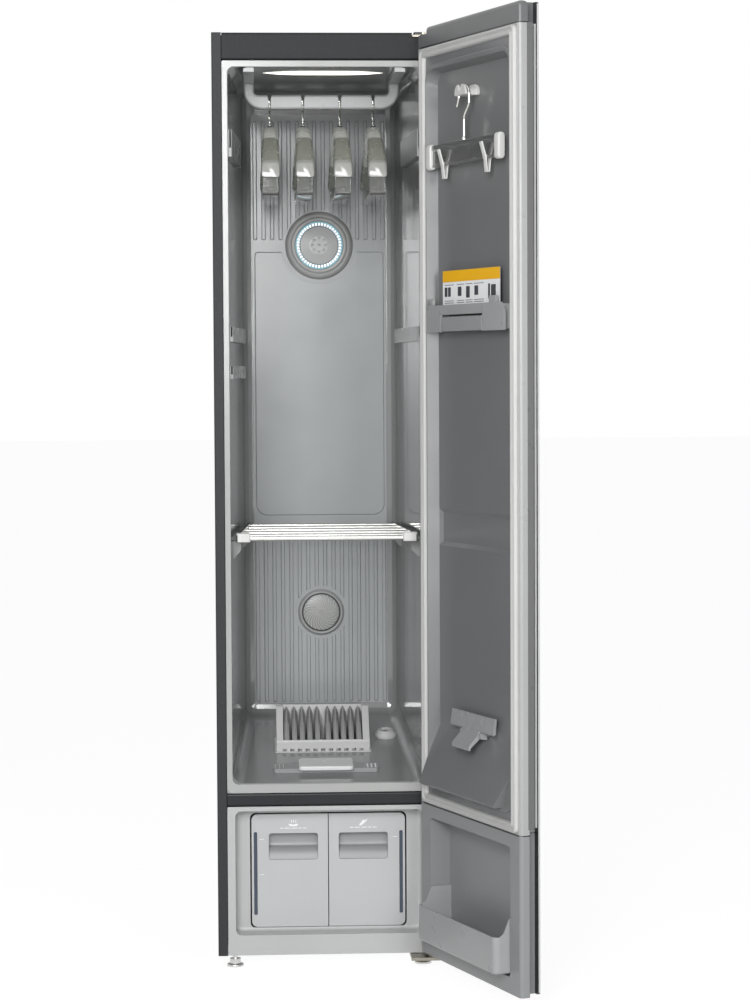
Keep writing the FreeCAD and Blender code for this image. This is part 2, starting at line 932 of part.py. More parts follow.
RECESS_TOP = DOOR_LINER_TOP - size.recess_top_margin
RAMP_BOTTOM = RECESS_BOTTOM - size.ramp_bottom_gap
RAMP_TOP = RAMP_BOTTOM + size.ramp_rise
POCKET_NEAR = size.pocket_side_margin - size.hinge_inset
POCKET_FAR = -DOOR_FREE - size.pocket_far_margin
POCKET_BOTTOM = DOOR_BOTTOM + size.pocket_margin_below
POCKET_TOP = LOWER_PANEL_TOP - size.pocket_margin_above
BASKET_NEAR = POCKET_NEAR + size.basket_gap
BASKET_FAR = POCKET_FAR - size.basket_gap
BASKET_BOTTOM = POCKET_BOTTOM + size.basket_lift
BASKET_FRONT_TOP = BASKET_BOTTOM + size.basket_front_height
BASKET_END_TOP = BASKET_BOTTOM + size.basket_end_height
LINER_FLOOR = DOOR_INNER - size.recess_depth

# what hangs and stands on the door's liner
TROUSER_BAR_NEAR = RECESS_NEAR + size.trouser_bar_gap
TROUSER_BAR_FAR = RECESS_FAR - size.trouser_bar_far_gap
SADDLE_PLACE = (TROUSER_BAR_NEAR + TROUSER_BAR_FAR) / 2
SADDLE_CENTRE = RECESS_TOP - size.saddle_drop
SADDLE_LOW = SADDLE_CENTRE + size.saddle_foot_rise
TROUSER_BAR_TOP = SADDLE_CENTRE - size.trouser_hook_length
TROUSER_BAR_BOTTOM = TROUSER_BAR_TOP - size.trouser_bar_height
TROUSER_CAP_TOP = TROUSER_BAR_TOP + size.trouser_cap_rise
TROUSER_CAP_BOTTOM = TROUSER_BAR_BOTTOM - size.trouser_cap_drop
CLIP_NEAR_PLACE = SADDLE_PLACE - size.clip_near_reach
CLIP_FAR_PLACE = SADDLE_PLACE + size.clip_far_reach
PEG_TOP = TROUSER_BAR_TOP - size.peg_top_drop
PEG_BOTTOM = TROUSER_BAR_BOTTOM - size.peg_reach_below
HOLDER_NEAR = RECESS_NEAR + size.holder_near_gap
HOLDER_FAR = RECESS_FAR - size.holder_far_gap
HOLDER_HIGH = size.holder_low + size.holder_height
HOLDER_EAR_TOP = HOLDER_HIGH + size.ear_height
NOTCH_TOP = size.holder_low + size.notch_height
EAR_NEAR_START = HOLDER_NEAR + size.ear_near_inset
EAR_NEAR_END = EAR_NEAR_START + size.ear_near_width
EAR_FAR_END = HOLDER_FAR - size.ear_far_inset
EAR_FAR_START = EAR_FAR_END - size.ear_far_width
NOTCH_NEAR = HOLDER_NEAR + size.notch_near_inset
NOTCH_FAR = HOLDER_FAR - size.notch_far_inset
LEVER_NEAR = NOTCH_NEAR + size.lever_gap
LEVER_FAR = NOTCH_FAR - size.lever_gap * 2
LEVER_BOTTOM = size.holder_low + size.seam
LEVER_TOP = NOTCH_TOP - size.lever_gap * 2
CARD_NEAR = HOLDER_NEAR + size.card_near_inset
CARD_FAR = HOLDER_FAR - size.card_far_inset
CARD_TOP = NOTCH_TOP + size.card_rise
HEM_TOP = RECESS_BOTTOM + size.hem_rise
HEM_LIP_BOTTOM = HEM_TOP - size.hem_height
HEM_NEAR = RECESS_NEAR + size.hem_near_inset
HEM_FAR = HEM_NEAR + size.hem_length
HEM_STEM_NEAR = HEM_NEAR + size.hem_stem_inset
HEM_STEM_FAR = HEM_STEM_NEAR + size.hem_stem_width
HEM_PIVOT_HEIGHT = HEM_TOP - size.hem_pivot_drop
HEM_BASE_BOTTOM = HEM_PIVOT_HEIGHT - size.hem_base_drop
HEM_BASE_TOP = HEM_PIVOT_HEIGHT + size.hem_base_rise

# the hinge plates
UPPER_PLATE = CAP_NOTCH_FLOOR + size.seam
UPPER_PLATE_LEFT = HINGE_X - size.upper_plate_width
UPPER_PLATE_RIGHT = HINGE_X - size.upper_plate_gap
UPPER_ARM_LEFT = HINGE_X - size.upper_arm_left_reach
UPPER_ARM_RIGHT = HINGE_X + size.upper_arm_right_reach
HINGE_COVER_LEFT = UPPER_PLATE_LEFT + size.hinge_cover_inset
HINGE_COVER_RIGHT = UPPER_PLATE_RIGHT - size.hinge_cover_inset - size.seam
HINGE_TAIL_LEFT = HALF - size.hinge_tail_width


def wall_at(depth):
    """Half the width of the cavity at a depth behind the cabinet's front."""
    narrowing = (CAVITY_FRONT_WIDTH - CAVITY_BACK_WIDTH) / 2
    return CAVITY_FRONT_WIDTH / 2 - narrowing * depth / size.cavity_depth


def on_floor(label, across, along=0):
    """A piece drawn in the plane of the cavity's sloping floor."""
    tilt = FLOOR_ANGLE
    return Piece(label, (across, FRONT + along * cosine(tilt), CAVITY_FLOOR + along * sine(tilt)),
                 (1, 0, 0), tilt)


def on_door(label):
    """A piece drawn with the door shut and the hinge axis at its origin."""
    return Piece(label, (HINGE_X, HINGE_Y, 0), (0, 0, 1), degrees(size.door_angle))


# --------------------------------------------------------------------------------------------------
# Outer cabinet
# --------------------------------------------------------------------------------------------------
def side_panel(label, side):
    """Sheet steel with a folded front strip and a fold behind that carries the back cover."""
    piece = Piece(label)
    outer = side * HALF
    inner = side * INSIDE
    strip = side * (HALF - size.front_strip)
    fold = side * (HALF - size.rear_fold)
    piece.pad("XY", size.foot_height, TOP, corners(
        (outer, FRONT, size.strip_radius),
        (outer, COVER_INSIDE),
        (fold, COVER_INSIDE),
        (fold, COVER_INSIDE - size.panel_sheet),
        (inner, COVER_INSIDE - size.panel_sheet),
        (inner, FRONT + size.panel_sheet),
        (strip, FRONT + size.panel_sheet),
        (strip, FRONT)))


def top_panel():
    """Sheet steel with folds down inside the side panels."""
    piece = Piece("top_panel")
    inner = INSIDE - size.panel_sheet
    piece.pad("XZ", FRONT + size.header_depth + size.seam, COVER_INSIDE - size.panel_sheet, corners(
        (-INSIDE, TOP - size.top_fold),
        (-INSIDE, TOP),
        (INSIDE, TOP),
        (INSIDE, TOP - size.top_fold),
        (inner, TOP - size.top_fold),
        (inner, TOP - size.panel_sheet),
        (-inner, TOP - size.panel_sheet),
        (-inner, TOP - size.top_fold)))


def front_channel(label, low, high, front, depth, radius):
    """A rail across the front, rounded in front and open behind."""
    piece = Piece(label)
    wall = size.channel_wall
    piece.pad("YZ", -FACE, FACE, corners(
        (front, low, radius),
        (front, high, radius),
        (FRONT + depth, high),
        (FRONT + depth, high - wall),
        (front + wall, high - wall, radius - wall),
        (front + wall, low + wall, radius - wall),
        (FRONT + depth, low + wall),
        (FRONT + depth, low)))
    return piece


def header_rail():
    """The dark rail over the cavity, notched where the upper hinge plate passes."""
    piece = front_channel("header_rail", HEADER_BOTTOM + size.seam, TOP, FRONT, size.header_depth,
                          size.header_radius)
    piece.pocket("XZ", FRONT, FRONT + size.header_depth, rectangle(
        UPPER_PLATE_LEFT - size.seam, UPPER_PLATE - size.seam, FACE, TOP))


def divider_band():
    """The black band between the cavity and the tank bay."""
    front_channel("divider_band", size.divider_bottom, DIVIDER_TOP, FRONT + size.divider_inset,
                  size.divider_depth, size.header_radius)


def back_cover():
    """The rear sheet, with two columns of louvre slots and a hole for the mains cord's gland."""
    piece = Piece("back_cover")
    edge = HALF - size.cover_margin
    piece.pad("XZ", COVER_INSIDE, BACK, rounded(
        -edge, size.foot_height + size.cover_margin, edge, TOP - size.cover_margin, size.cover_margin))
    columns = []
    for side in (-1, 1):
        centre = side * size.louvre_offset
        reach = size.louvre_length / 2
        columns.append(piece.pocket("XZ", COVER_INSIDE, BACK, rectangle(
            centre - reach, size.louvre_height, centre + reach, size.louvre_height + size.louvre_width)))
    piece.row(columns, "Z", size.louvre_pitch, size.louvre_count)
    piece.pocket("XZ", COVER_INSIDE, BACK, circle(
        GLAND_ACROSS, size.gland_height, size.gland_radius - size.duct_wall))


def cord_gland():
    """A round bush in the back cover, through which the mains cord leaves."""
    piece = Piece("cord_gland", (GLAND_ACROSS, COVER_INSIDE, size.gland_height))
    neck = size.gland_radius - size.duct_wall
    piece.turn("YZ", 0, ((0, 0), (size.gland_depth, 0)), corners(
        (-size.gland_depth, size.gland_bore),
        (size.panel_sheet, size.gland_bore),
        (size.panel_sheet, neck),
        (0, neck),
        (0, size.gland_radius),
        (-size.gland_depth, size.gland_radius, size.duct_wall)))


def base_pan():
    """The floor of the machine space: a sheet tray on the four feet."""
    piece = Piece("base_pan")
    front = FRONT + size.pan_setback
    back = COVER_INSIDE - size.panel_sheet
    sheet = size.pan_sheet
    piece.pad("XY", size.foot_height, size.foot_height + size.pan_edge,
              rectangle(-INSIDE, front, INSIDE, back))
    piece.pocket("XY", PAN_TOP, size.foot_height + size.pan_edge,
                 rectangle(-INSIDE + sheet, front + sheet, INSIDE - sheet, back - sheet))
    holes = [circle(x, y, size.stud_radius + size.stud_clearance) for x, y in foot_places()]
    piece.pocket("XY", size.foot_height, PAN_TOP, *holes)


def foot_places():
    """The centres of the four feet."""
    across = FOOT_SPACING_ACROSS / 2
    deep = FOOT_SPACING_DEEP / 2
    return [(sx * across, sy * deep) for sx in (-1, 1) for sy in (-1, 1)]


def levelling_feet():
    """Four feet: a disc, a hexagon-like collar and a threaded stud."""
    piece = Piece("levelling_feet")
    for x, y in foot_places():
        rim = size.foot_thickness / 3
        piece.turn("XZ", y, ((x, 0), (x, size.foot_height)), corners(
            (x, 0),
            (x + size.foot_radius, 0),
            (x + size.foot_radius, size.foot_thickness - rim, rim),
            (x + size.nut_radius, size.foot_thickness),
            (x + size.nut_radius, size.nut_top),
            (x + size.stud_radius, size.nut_top),
            (x + size.stud_radius, size.stud_length),
            (x, size.stud_length)))


# --------------------------------------------------------------------------------------------------
# Inner liner and what is fixed in it
# --------------------------------------------------------------------------------------------------
def cavity_section(depth, growth=0):
    """The cavity's outline at a depth, grown by a wall or a bevel."""
    half = wall_at(depth) + growth
    floor = CAVITY_FLOOR + size.cavity_floor_rise * depth / size.cavity_depth - growth
    return rounded(-half, floor, half, CEILING + growth, size.cavity_corner + growth)


def cavity_stages(growth):
    """Sections from the mouth to the rear wall, drawn in round the rear corner in equal turns."""
    radius = size.rear_corner + growth
    stages = [(FRONT, cavity_section(0, growth))]
    for turn in range(SIZES["rear_corner_steps"] + 1):
        angle = math.pi / 2 * turn / SIZES["rear_corner_steps"]
        depth = size.cavity_depth + growth - radius * (1 - math.sin(angle))
        inset = radius * (1 - math.cos(angle))
        stages.append((FRONT + depth, cavity_section(depth, growth - inset)))
    return stages


def inner_liner():
    """The moulded cavity: tapered walls, a floor that rises to the back, and a front flange."""
    piece = Piece("inner_liner")
    wall = size.liner_wall
    piece.loft("XZ", *cavity_stages(wall), ruled=True)
    piece.pad("XZ", FRONT, FRONT + wall, rounded(-FACE, DIVIDER_TOP, FACE, HEADER_BOTTOM, wall))
    piece.pad("XZ", FRONT, FRONT + size.collar_depth, cavity_section(0, size.mouth_bevel + wall))
    piece.loft("XZ", *cavity_stages(0), kind="SubtractiveLoft", ruled=True)
    bevel = size.mouth_bevel
    piece.loft("XZ", (FRONT, cavity_section(0, bevel)),
               (FRONT + bevel * 2, cavity_section(0, -bevel)),
               kind="SubtractiveLoft", ruled=True)
    half = DUCT_COVER_WIDTH / 2
    piece.pocket("XZ", REAR_WALL, REAR_WALL + size.duct_cover_sheet, rounded(
        -half, COVER_BOTTOM, half, COVER_TOP, size.rib_end_radius))


def rear_duct_cover():
    """The flush cover of the rear air duct: two fields of ribs and a raised plateau."""
    piece = Piece("rear_duct_cover")
    half = DUCT_COVER_WIDTH / 2
    face = REAR_WALL
    proud = REAR_WALL - size.rib_height
    piece.pad("XZ", face, face + size.duct_cover_sheet, rounded(
        -half, COVER_BOTTOM, half, COVER_TOP, size.rib_end_radius))
    reach = PLATEAU_WIDTH / 2
    piece.pad("XZ", proud, face, corners(
        (-reach, PLATEAU_BOTTOM, size.plateau_radius),
        (reach, PLATEAU_BOTTOM, size.plateau_radius),
        (reach, PLATEAU_TOP, size.plateau_top_radius),
        (-reach, PLATEAU_TOP, size.plateau_top_radius)), taper=degrees(-size.rib_draft))
    piece.pocket("XZ", proud, face, circle(0, OUTLET_HEIGHT, size.plateau_bite))
    fields = ((UPPER_RIB_BOTTOM, UPPER_RIB_TOP, OUTLET_HEIGHT, size.upper_rib_bite),
              (LOWER_RIB_BOTTOM, LOWER_RIB_TOP, NOZZLE_HEIGHT, size.lower_rib_bite))
    first = -(RIB_PITCH * (size.rib_count - 1) / 2)
    for low, high, centre, bite in fields:
        rib = piece.pad("XZ", proud, face, rounded(
            first - size.rib_width / 2, low, first + size.rib_width / 2, high, size.rib_end_radius),
            taper=degrees(-size.rib_draft))
        piece.row([rib], "X", RIB_PITCH, size.rib_count)
        piece.pocket("XZ", proud, face, circle(0, centre, bite))


def on_rear_wall(label, height):
    """A turned piece whose axis stands square on the rear wall."""
    return Piece(label, (0, REAR_WALL, height))


def air_outlet_bezel():
    """The raised ring round the air outlet."""
    piece = on_rear_wall("air_outlet_bezel", OUTLET_HEIGHT)
    inner = size.light_ring_outer + size.outlet_gap
    depth = size.outlet_depth
    piece.turn("YZ", 0, ((0, 0), (depth, 0)), corners(
        (0, inner),
        (-depth, inner),
        (-depth, inner + depth, depth / 4),
        (-(depth / 3), size.outlet_radius, depth / 4),
        (0, size.outlet_radius)))


def air_outlet_light_ring():
    """The clear ring of light inside the bezel."""
    piece = on_rear_wall("air_outlet_light_ring", OUTLET_HEIGHT)
    piece.turn("YZ", 0, ((0, 0), (size.light_ring_depth, 0)), rectangle(
        -size.light_ring_depth, size.light_ring_inner, 0, size.light_ring_outer))


def air_outlet_disc():
    """The perforated disc that the air comes out of."""
    piece = on_rear_wall("air_outlet_disc", OUTLET_HEIGHT)
    radius = size.light_ring_inner - size.outlet_gap
    piece.turn("YZ", 0, ((0, 0), (size.outlet_depth, 0)), corners(
        (0, 0),
        (-size.outlet_depth, 0),
        (-size.outlet_depth, radius / 2, radius / 3),
        (-size.light_ring_depth, radius, size.outlet_gap),
        (0, radius)))
    face = -size.outlet_depth
    floor = face + size.disc_hole_depth
    piece.pocket("XZ", face, floor, circle(0, 0, size.disc_hole_radius))
    hole = piece.pocket("XZ", face, floor, circle(size.disc_hole_circle, 0, size.disc_hole_radius))
    piece.ring([hole], "Y", size.disc_hole_count)


def steam_nozzle():
    """The steam nozzle: a rounded ring and a hub with swirl vanes between them."""
    piece = on_rear_wall("steam_nozzle", NOZZLE_HEIGHT)
    depth = size.nozzle_depth
    inner = size.vane_radius - size.vane_thickness
    axis = ((0, 0), (depth, 0))
    piece.turn("YZ", 0, axis, corners(
        (0, inner),
        (size.rib_height - depth, inner),
        (-depth, inner + size.rib_height),
        (-depth, size.nozzle_radius - size.rib_height, size.rib_height / 2),
        (-size.rib_height, size.nozzle_radius, size.rib_height / 2),
        (0, size.nozzle_radius)))
    piece.turn("YZ", 0, axis, corners(
        (0, 0),
        (-depth, 0),
        (-depth, size.hub_radius / 2, size.hub_radius / 4),
        (-(depth / 2), size.hub_radius, size.vane_thickness),
        (-size.vane_thickness, size.hub_radius),
        (-size.vane_thickness, size.vane_radius),
        (0, size.vane_radius)))
    root = size.hub_radius - size.vane_thickness
    middle = (root + size.vane_radius) / 2
    lean = size.vane_radius * 0.1
    sweep = size.vane_radius * 0.4
    bend = size.vane_radius / 2
    vane = piece.pad("XZ", -size.vane_height - size.vane_thickness, -size.vane_thickness, corners(
        (root, 0),
        (middle, lean, bend),
        (inner, sweep),
        (inner - size.vane_thickness, sweep + size.vane_thickness),
        (middle - size.vane_thickness / 2, lean + size.vane_thickness, bend),
        (root, size.vane_thickness)))
    piece.ring([vane], "Y", size.vane_count)


def ceiling_light_lens():
    """The long lens of the ceiling light."""
    piece = Piece("ceiling_light_lens")
    half = LEG_INNER - size.lens_side_gap
    front = FRONT + size.lens_front
    piece.pad("XY", CEILING - size.lens_thickness, CEILING, rounded(
        -half, front, half, front + size.lens_depth, size.lens_radius))


def ceiling_rails():
    """The two rails under the ceiling that guide and drive the hanger bar."""
    piece = Piece("ceiling_rails")
    back = BAR_PLACE + size.bar_thickness / 2
    low = CEILING - size.rail_height
    outer = BAR_HALF_WIDTH
    for side in (-1, 1):
        piece.pad("XZ", FRONT + size.rail_front, back, corners(
            (side * LEG_INNER, low),
            (side * outer, low),
            (side * outer, CEILING - size.rail_bevel),
            (side * (outer - size.rail_outer_inset), CEILING),
            (side * LEG_INNER, CEILING)))


def wall_block(piece, side, place, depth, low, high, reach):
    """A block on a side wall of the cavity, in plan bounded by the wall's slant."""
    start = place - depth / 2
    end = place + depth / 2
    radius = reach / 4
    piece.pad("XY", low, high, corners(
        (side * wall_at(start), FRONT + start),
        (side * wall_at(end), FRONT + end),
        (side * (wall_at(end) - reach), FRONT + end, radius),
        (side * (wall_at(end) - reach), FRONT + start, radius)))


def side_rail(piece, side, low, high, end):
    """A rail along a side wall of the cavity, with a groove behind its lip."""
    start = size.side_rail_start
    reach = size.hook_reach
    plate = size.hook_plate

    def at(depth, inset):
        return side * (wall_at(depth) - inset), FRONT + depth

    piece.pad("XY", low, high, corners(
        at(start, 0), at(end, 0), at(end, reach) + (plate,), at(start, reach) + (plate,)))
    piece.pocket("XY", low + (high - low) / 3, high, corners(
        at(start, plate), at(end, plate), at(end, reach - plate), at(start, reach - plate)))


def wall_brackets():
    """Grooved rails on the side walls for hooks and clips, and the four supports of the shelf."""
    piece = Piece("wall_brackets")
    for side in (-1, 1):
        side_rail(piece, side, UPPER_RAIL_BOTTOM, UPPER_RAIL_TOP, size.upper_rail_end)
        side_rail(piece, side, MIDDLE_RAIL_BOTTOM, MIDDLE_RAIL_TOP, size.lower_rail_end)
    side_rail(piece, -1, LOWER_RAIL_BOTTOM, LOWER_RAIL_TOP, size.lower_rail_end)
    for side in (-1, 1):
        for support in (size.support_front_place, SUPPORT_REAR_PLACE):
            top = SHELF_UNDERSIDE
            wall_block(piece, side, support, size.support_length, top - size.support_drop, top,
                       size.support_reach)
            inner = wall_at(support + size.support_length / 2) - size.support_reach
            piece.pocket("XZ", FRONT + support - size.support_length,
                         FRONT + support + size.support_length, corners(
                             (side * inner, top - size.support_drop),
                             (side * (inner + size.support_reach - size.hook_plate),
                              top - size.support_drop),
                             (side * inner, top - size.support_reach)))


# --------------------------------------------------------------------------------------------------
# Moving hanger bar and hangers
# --------------------------------------------------------------------------------------------------
def hanger_places():
    """Where the four hangers hang, from left to right."""
    return (-HANGER_OUTER_PLACE, -size.hanger_inner_place,
            size.hanger_inner_place, HANGER_OUTER_PLACE)


def hanger_bar():
    """A U-shaped moulded bar with a groove and a flared mouth for each hanger's hook."""
    piece = Piece("hanger_bar")
    half = BAR_HALF_WIDTH
    low = BAR_BOTTOM
    high = low + size.bar_height
    leg_top = CEILING - size.rail_height - size.rail_gap
    front = BAR_PLACE - size.bar_thickness / 2
    back = BAR_PLACE + size.bar_thickness / 2
    piece.pad("XZ", front, back, corners(
        (-half, leg_top),
        (-half, low, size.bar_outer_radius),
        (half, low, size.bar_outer_radius),
        (half, leg_top),
        (LEG_INNER, leg_top),
        (LEG_INNER, high, size.bar_inner_radius),
        (-LEG_INNER, high, size.bar_inner_radius),
        (-LEG_INNER, leg_top)))
    top = leg_top.number

    def lower_edges(edge):
        flat = at_level("y", front)(edge) or at_level("y", back)(edge)
        return flat and any(vertex.Z < top - 0.01 for vertex in edge.Vertexes)

    piece.soften("Fillet", size.bar_rounding, lower_edges)
    neck = size.hook_radius - size.hook_wire_radius - size.hook_clearance
    bend = neck - size.hook_clearance
    centre = HOOK_CENTRE
    for place in hanger_places():
        piece.pocket("YZ", place - size.groove_width / 2, place + size.groove_width / 2, corners(
            (BAR_PLACE - size.bar_thickness, centre),
            (BAR_PLACE - neck, centre),
            (BAR_PLACE - neck, centre + neck, bend),
            (BAR_PLACE + neck, centre + neck, bend),
            (BAR_PLACE + neck, centre),
            (BAR_PLACE + size.bar_thickness, centre),
            (BAR_PLACE + size.bar_thickness, high + size.bar_height),
            (BAR_PLACE - size.bar_thickness, high + size.bar_height)))
        piece.pocket("XZ", front, back, corners(
            (place - size.groove_width / 2, centre + neck),
            (place + size.groove_width / 2, centre + neck),
            (place + size.groove_mouth / 2, high + size.seam),
            (place - size.groove_mouth / 2, high + size.seam)))


def hanger_hook(label, place):
    """The bent wire hook of a hanger."""
    piece = Piece(label, (place, BAR_PLACE, 0))
    radius = size.hook_radius
    centre = HOOK_CENTRE
    start = SHOULDER_TOP
    bend = radius * 0.6
    crown = radius - size.hook_clearance / 2
    piece.rod("YZ", 0, path(
        (0, start),
        (0, start + bend * 2, bend),
        (radius, centre - bend, bend),
        (radius, centre + radius, crown),
        (-radius, centre + radius, crown),
        (-radius, centre - size.hook_tip_drop)),
        start, circle(0, 0, size.hook_wire_radius))


def hanger_shoulder(label, place):
    """The broad sloping shoulder of a hanger, and the clear trouser rail below it."""
    piece = Piece(label, (place, BAR_PLACE, 0))
    reach = SHOULDER_HALF_LENGTH
    middle_low = SHOULDER_TOP - size.shoulder_middle_depth
    flare = (size.shoulder_end_width - size.shoulder_top_width) / size.shoulder_height
    sections = []
    for share in (-1, -0.96, -0.8, -0.6, -0.4, -0.2, 0, 0.2, 0.4, 0.6, 0.8, 0.96, 1):
        spread = abs(share)
        fullness = 0.84 if spread == 1 else 1
        high = SHOULDER_TOP - (SHOULDER_TOP - SHOULDER_END_TOP) * spread * spread
        low = middle_low - (middle_low - SHOULDER_END_BOTTOM) * spread
        upper = (size.shoulder_top_width + flare * (SHOULDER_TOP - high)) * fullness / 2
        lower = (size.shoulder_top_width + flare * (SHOULDER_TOP - low)) * fullness / 2
        shrink = (high - low) * (1 - fullness) / 2
        radius = size.shoulder_top_width * fullness / 5
        sections.append((reach * share, corners(
            (-lower, low + shrink, radius),
            (lower, low + shrink, radius),
            (upper, high - shrink, radius),
            (-upper, high - shrink, radius))))
    piece.loft("XZ", *sections, ruled=True)
    rail = size.trouser_rail_width / 2
    thickness = size.trouser_rail_thickness
    end = reach * 0.94 - size.trouser_rail_setback
    low = TROUSER_RAIL_BOTTOM
    top = SHOULDER_END_BOTTOM + size.trouser_rail_root
    piece.pad("YZ", -rail, rail, corners(
        (-end, top),
        (-end, low, thickness * 1.6),
        (end, low, thickness * 1.6),
        (end, top),
        (end - thickness, top),
        (end - thickness, low + thickness, thickness * 0.6),
        (thickness - end, low + thickness, thickness * 0.6),
        (thickness - end, top)))


# --------------------------------------------------------------------------------------------------
# Shelf and the items on the floor
# --------------------------------------------------------------------------------------------------
def shelf_edge(depth, inset=0):
    """Half the shelf's width at a depth behind the cabinet's front."""
    return wall_at(depth) - size.shelf_wall_gap - inset


def shelf_frame():
    """Two side arms that follow the walls, joined by a round front bar with square end caps."""
    piece = Piece("shelf_frame")
    low = SHELF_UNDERSIDE
    high = low + size.shelf_thickness
    near = size.shelf_front
    far = near + SHELF_DEPTH
    arm = size.shelf_arm_width
    for side in (-1, 1):
        piece.pad("XY", low, high, corners(
            (side * shelf_edge(near), FRONT + near, size.shelf_corner),
            (side * shelf_edge(far), FRONT + far, size.shelf_corner),
            (side * shelf_edge(far, arm), FRONT + far, size.shelf_corner),
            (side * shelf_edge(near, arm), FRONT + near, size.shelf_corner)))
        outer = shelf_edge(near + size.shelf_cap_depth)
        piece.pad("XY", low, low + size.shelf_cap_height, rounded(
            side * (outer - size.shelf_cap_length), FRONT + near, side * outer,
            FRONT + near + size.shelf_cap_depth, size.shelf_corner))
    cap_inner = shelf_edge(near + size.shelf_cap_depth, size.shelf_cap_length)
    piece.pad("YZ", -cap_inner, cap_inner, circle(
        FRONT + near + size.shelf_cap_depth / 2, low + size.shelf_thickness / 2, size.shelf_bar_radius))


def shelf_rods():
    """Five round rods between the side arms."""
    piece = Piece("shelf_rods")
    height = SHELF_UNDERSIDE + size.shelf_thickness / 2
    for number in range(SIZES["rod_count"]):
        place = ROD_LAST_PLACE - size.rod_pitch * number
        reach = shelf_edge(place + size.rod_radius, size.shelf_arm_width)
        piece.pad("YZ", -reach, reach, circle(FRONT + place, height, size.rod_radius))


def lint_filter_frame():
    """A tray with a low slotted front, sloping sides and a high back."""
    piece = on_floor("lint_filter_frame", size.filter_offset)
    half = size.filter_width / 2
    near = size.filter_front
    far = near + size.filter_depth
    low = size.floor_gap
    wall = size.filter_wall
    piece.pad("YZ", -half, half, corners(
        (near, low),
        (near, size.filter_front_height, wall),
        (far - size.filter_side, size.filter_back_height, wall),
        (far, size.filter_back_height, wall),
        (far, low)))
    flange = size.filter_flange
    piece.pad("XY", low, size.filter_flange_height, rounded(
        -half - flange, near - flange, half + flange, far + flange, flange))
    inner = half - size.filter_side
    piece.pocket("XY", size.filter_flange_height, size.filter_back_height + wall, rectangle(
        -inner, near + wall, inner, far - wall))
    first = -(size.slot_pitch * (size.slot_count - 1) / 2)
    slot = piece.pocket("XZ", near, near + wall, rectangle(
        first - size.slot_width / 2, size.filter_flange_height,
        first + size.slot_width / 2, size.filter_flange_height + size.slot_height))
    piece.row([slot], "X", size.slot_pitch, size.slot_count)


def lint_filter_pleats():
    """Pleats of fine mesh across the filter, cut to its slope."""
    piece = on_floor("lint_filter_pleats", size.filter_offset)
    near = size.filter_front + size.filter_wall
    far = size.filter_front + size.filter_depth - size.filter_wall
    low = size.filter_flange_height
    high = size.filter_back_height - size.filter_wall
    first = -(size.pleat_pitch * (size.pleat_count - 1) / 2)
    pleat = piece.pad("XZ", near, far, corners(
        (first - size.pleat_base, low),
        (first + size.pleat_base, low),
        (first + size.pleat_tip, high),
        (first - size.pleat_tip, high)))
    piece.row([pleat], "X", size.pleat_pitch, size.pleat_count)
    half = size.filter_width / 2
    piece.pocket("YZ", -half, half, corners(
        (near, size.filter_front_height - size.filter_wall),
        (far - size.filter_side, high + size.seam),
        (near, high + size.seam)))


def drain_port_cap():
    """A round cap on the floor with bars across its well."""
    piece = on_floor("drain_port_cap", PORT_ACROSS, size.port_along)
    height = size.port_height
    well = size.port_well_radius
    piece.turn("XZ", 0, ((0, 0), (0, height)), corners(
        (0, 0),
        (size.port_radius, 0),
        (size.port_radius, height / 3, height / 6),
        (well + size.port_bar, height, height / 6),
        (well, height),
        (well, height / 3),
        (0, height / 3)))
    for place in (-well / 2, 0, well / 2):
        reach = well if place == 0 else well * 0.88
        piece.pad("XY", height / 3, height * 0.8, rectangle(
            place - size.port_bar / 2, -reach, place + size.port_bar / 2, reach))


def aroma_tray():
    """A flat tray with three stripes at each end."""
    piece = on_floor("aroma_tray", size.aroma_offset)
    half = size.aroma_width / 2
    near = size.aroma_front
    far = near + size.aroma_depth
    top = size.floor_gap + size.aroma_height
    stripe = size.aroma_stripe
    piece.pad("XY", size.floor_gap, top, rounded(-half, near, half, far, stripe * 2))
    grooves = []
    for start in (stripe - half, half - stripe * 6):
        grooves.append(piece.pocket("XY", top - stripe / 4, top, rectangle(
            start, near + stripe, start + stripe, far - stripe)))
    piece.row(grooves, "X", stripe * 2, 3)


def aroma_handle():
    """The rounded lid and handle over the middle of the tray."""
    piece = on_floor("aroma_handle", size.aroma_offset)
    half = size.aroma_handle_width / 2
    near = size.aroma_handle_front
    far = near + size.aroma_handle_depth
    low = size.floor_gap + size.aroma_height
    piece.pad("XY", low, low + size.aroma_handle_height, rounded(
        -half, near, half, far, size.aroma_handle_radius))
    piece.soften("Fillet", size.aroma_handle_height / 3, at_level("z", low + size.aroma_handle_height))


